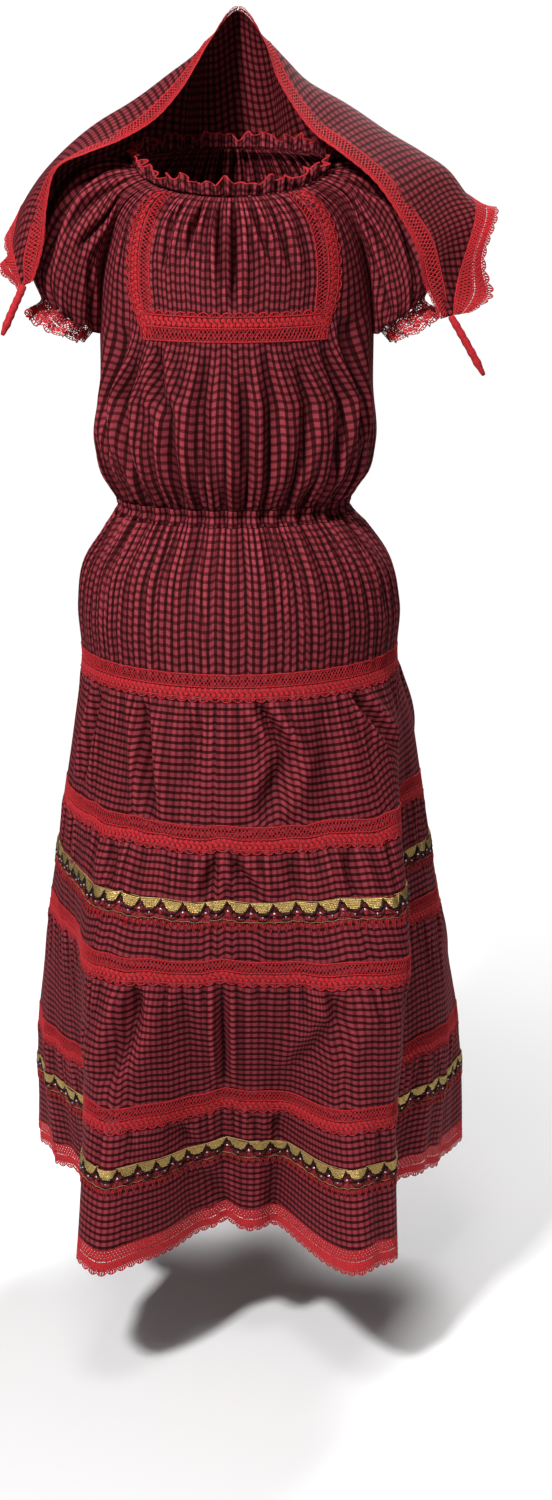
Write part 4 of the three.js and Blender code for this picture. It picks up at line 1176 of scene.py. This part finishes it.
for name, side, seed in (("right", -1, 51), ("left", 1, 61)):
    w, t, points = sleeve_grid(side, 121, 0, CUFF, 60)
    points = points + direction(points) * sleeve_folds(name, w, t, seed)[..., None]
    # The underside is drawn in, clear of the body.
    under = np.maximum(smooth(0.22 - w, 0, 0.22), smooth(w - 0.78, 0, 0.22))
    points[..., 0] -= side * 7 * under * smooth(t, 0.55, 1.0)
    uv = cloth_uv(w * SLEEVE_CUT, -lengths(points, 0))
    made = fitted(shell("sleeve_cloth_" + name, points, uv, straight), ["sleeve_" + name])
    w, t, points = sleeve_grid(side, 161, CUFF + 0.004, CUFF_LACE_END, 9)
    height = 1.5 + 3.5 * np.clip((t - CUFF) / (CUFF_LACE_END - CUFF), 0, 1)
    points = points + direction(points) * (height * np.cos(2 * np.pi * CUFF_RUFFLES * w))[..., None]
    cuff_lace = lace_strip("cuff_strip_" + name, points, 0.0, ["cuff_lace_" + name], CUFF_LACE)

# The kerchief, its lace and its rolled tails
s = np.linspace(KERCHIEF_TIP, -KERCHIEF_TIP, 231)
middle = len(s) // 2
down = np.concatenate([
    np.linspace(0, LACED, 8), np.linspace(LACED, 1, 48)[1:], np.linspace(1, 1.42, 7)[1:],
])
points = kerchief_surface(s, down)
uv = row_uv(points, len(down) // 3)
kerchief = fitted(shell("kerchief_cloth", points, uv, bias), ["kerchief"])
front_run = float(lengths(kerchief_grid(s, [0.0]), 1)[0, -1])
kerchief_lace = []
for name, half in (("right", s[middle:]), ("left", s[: middle + 1])):
    # From its net edge on the cloth out to its scallops, over the long edge.
    front = kerchief_surface(half, np.linspace(LACED, -LACED, 7))[:, ::-1]
    short = kerchief_surface(half, np.linspace(1, 2, 7))
    edging, lift = ["kerchief_edging_" + name], CLOTH / 2 + 0.3
    kerchief_lace += [
        lace_strip("kerchief_strip_" + name, front, LACE_LIFT, ["kerchief_lace_" + name], CUFF_LACE),
        lace_strip("short_edge_lace_" + name, short, lift, edging, FREE_LACE),
    ]

for name, (u, end) in TAILS.items():
    tip = kerchief_grid(np.array([-u]), [0.5])[0, 0]
    inner = kerchief_grid(np.array([-u * 0.98]), [0.5])[0, 0]
    away = (tip - inner) / np.linalg.norm(tip - inner)
    start, finish = tip + away * 0.3, np.array(end, float)
    bend = start + (finish - start) * 0.4 + (0, -2, 2)
    share = np.linspace(0, 1, 24)[:, None]
    path = start * (1 - share) ** 2 + 2 * bend * share * (1 - share) + finish * share**2
    ends = np.minimum(1, 5 * np.minimum(share[:, 0] + 0.1, 1.04 - share[:, 0])) ** 0.5
    roll = 4.2 * ends * (1 + 0.09 * np.sin(share[:, 0] * 40))
    tail = tube("rolled_end_" + name, path, roll, lace_red, sides=10)
    kerchief_lace.append(fitted(tail, ["kerchief_tail_" + name]))

for helper in helpers:
    bpy.data.objects.remove(helper)

# The floor, which fades out into the white room, and the lamps


def floor_material():
    """A pale floor round the dress, which turns clear further out."""
    material, tree, shader = material_tree("pale_floor")
    fill(tree, shader, {"Base Color": (0.95, 0.95, 0.95, 1), "Roughness": 0.95, "Specular IOR Level": 0.1})
    place = add(tree, "ShaderNodeTexCoord", {}, "Object")
    flat = vector(tree, "MULTIPLY", place, (1, 1, 0))
    away = vector(tree, "LENGTH", flat).node.outputs["Value"]
    fade = ranged(tree, away, From_Min=FADE_START, From_Max=FADE_END)
    clear = add(tree, "ShaderNodeBsdfTransparent", {})
    blend = add(tree, "ShaderNodeMixShader", {0: fade, 1: shader.outputs[0], 2: clear})
    fill(tree, tree.nodes["Material Output"], {"Surface": blend})
    return material


def white_room():
    """A room that is white to look at and gives little light of its own."""
    world = bpy.data.worlds.new("room")
    world.use_nodes = True
    tree = world.node_tree
    dim = tree.nodes["Background"]
    fill(tree, dim, {"Color": (1, 1, 1, 1), "Strength": 0.1})
    white = add(tree, "ShaderNodeBackground", {"Color": (1, 1, 1, 1), "Strength": 1.02})
    seen = add(tree, "ShaderNodeLightPath", {}, "Is Camera Ray")
    room = add(tree, "ShaderNodeMixShader", {0: seen, 1: dim.outputs[0], 2: white})
    fill(tree, tree.nodes["World Output"], {"Surface": room})
    return world


FLOOR, FLOOR_RADIUS = -1.33, 2.5
FADE_START, FADE_END = 0.6, 2.3
turns = np.linspace(0, 2 * np.pi, 64, endpoint=False)
floor_mesh = bpy.data.meshes.new("floor")
rim = [(FLOOR_RADIUS * math.cos(turn), FLOOR_RADIUS * math.sin(turn), FLOOR) for turn in turns]
floor_mesh.from_pydata(rim, [], [tuple(range(len(rim)))])
floor_mesh.materials.append(floor_material())
in_scene("floor", floor_mesh)
bpy.context.scene.world = white_room()

# Each lamp: place, the point it is aimed at, watts and the side of its square.
LAMPS = {
    "key": ((-1.15, -2.3, 2.0), (0, 0, -0.4), 142, 0.4),
    "top": ((-0.1, -1.2, 1.9), (0, 0, -0.4), 16, 0.7),
    "back": ((0.9, 2.2, 1.5), (0, 0, -0.8), 95, 1.4),
    "side": ((-2.6, -1.3, 0.9), (0, 0, -0.5), 4, 1.0),
    "fill": ((2.2, -2.2, 0.2), (0, 0, -0.6), 5, 2.0),
}
for name, (place, aim, watts, size) in LAMPS.items():
    lamp = bpy.data.objects.new(name, bpy.data.lights.new(name, "AREA"))
    lamp.data.energy = watts
    lamp.data.size = size
    lamp.location = place
    away = np.array(place) - np.array(aim)
    lamp.rotation_euler = (
        math.atan2(math.hypot(away[0], away[1]), away[2]), 0, math.atan2(away[0], -away[1])
    )
    bpy.context.scene.collection.objects.link(lamp)
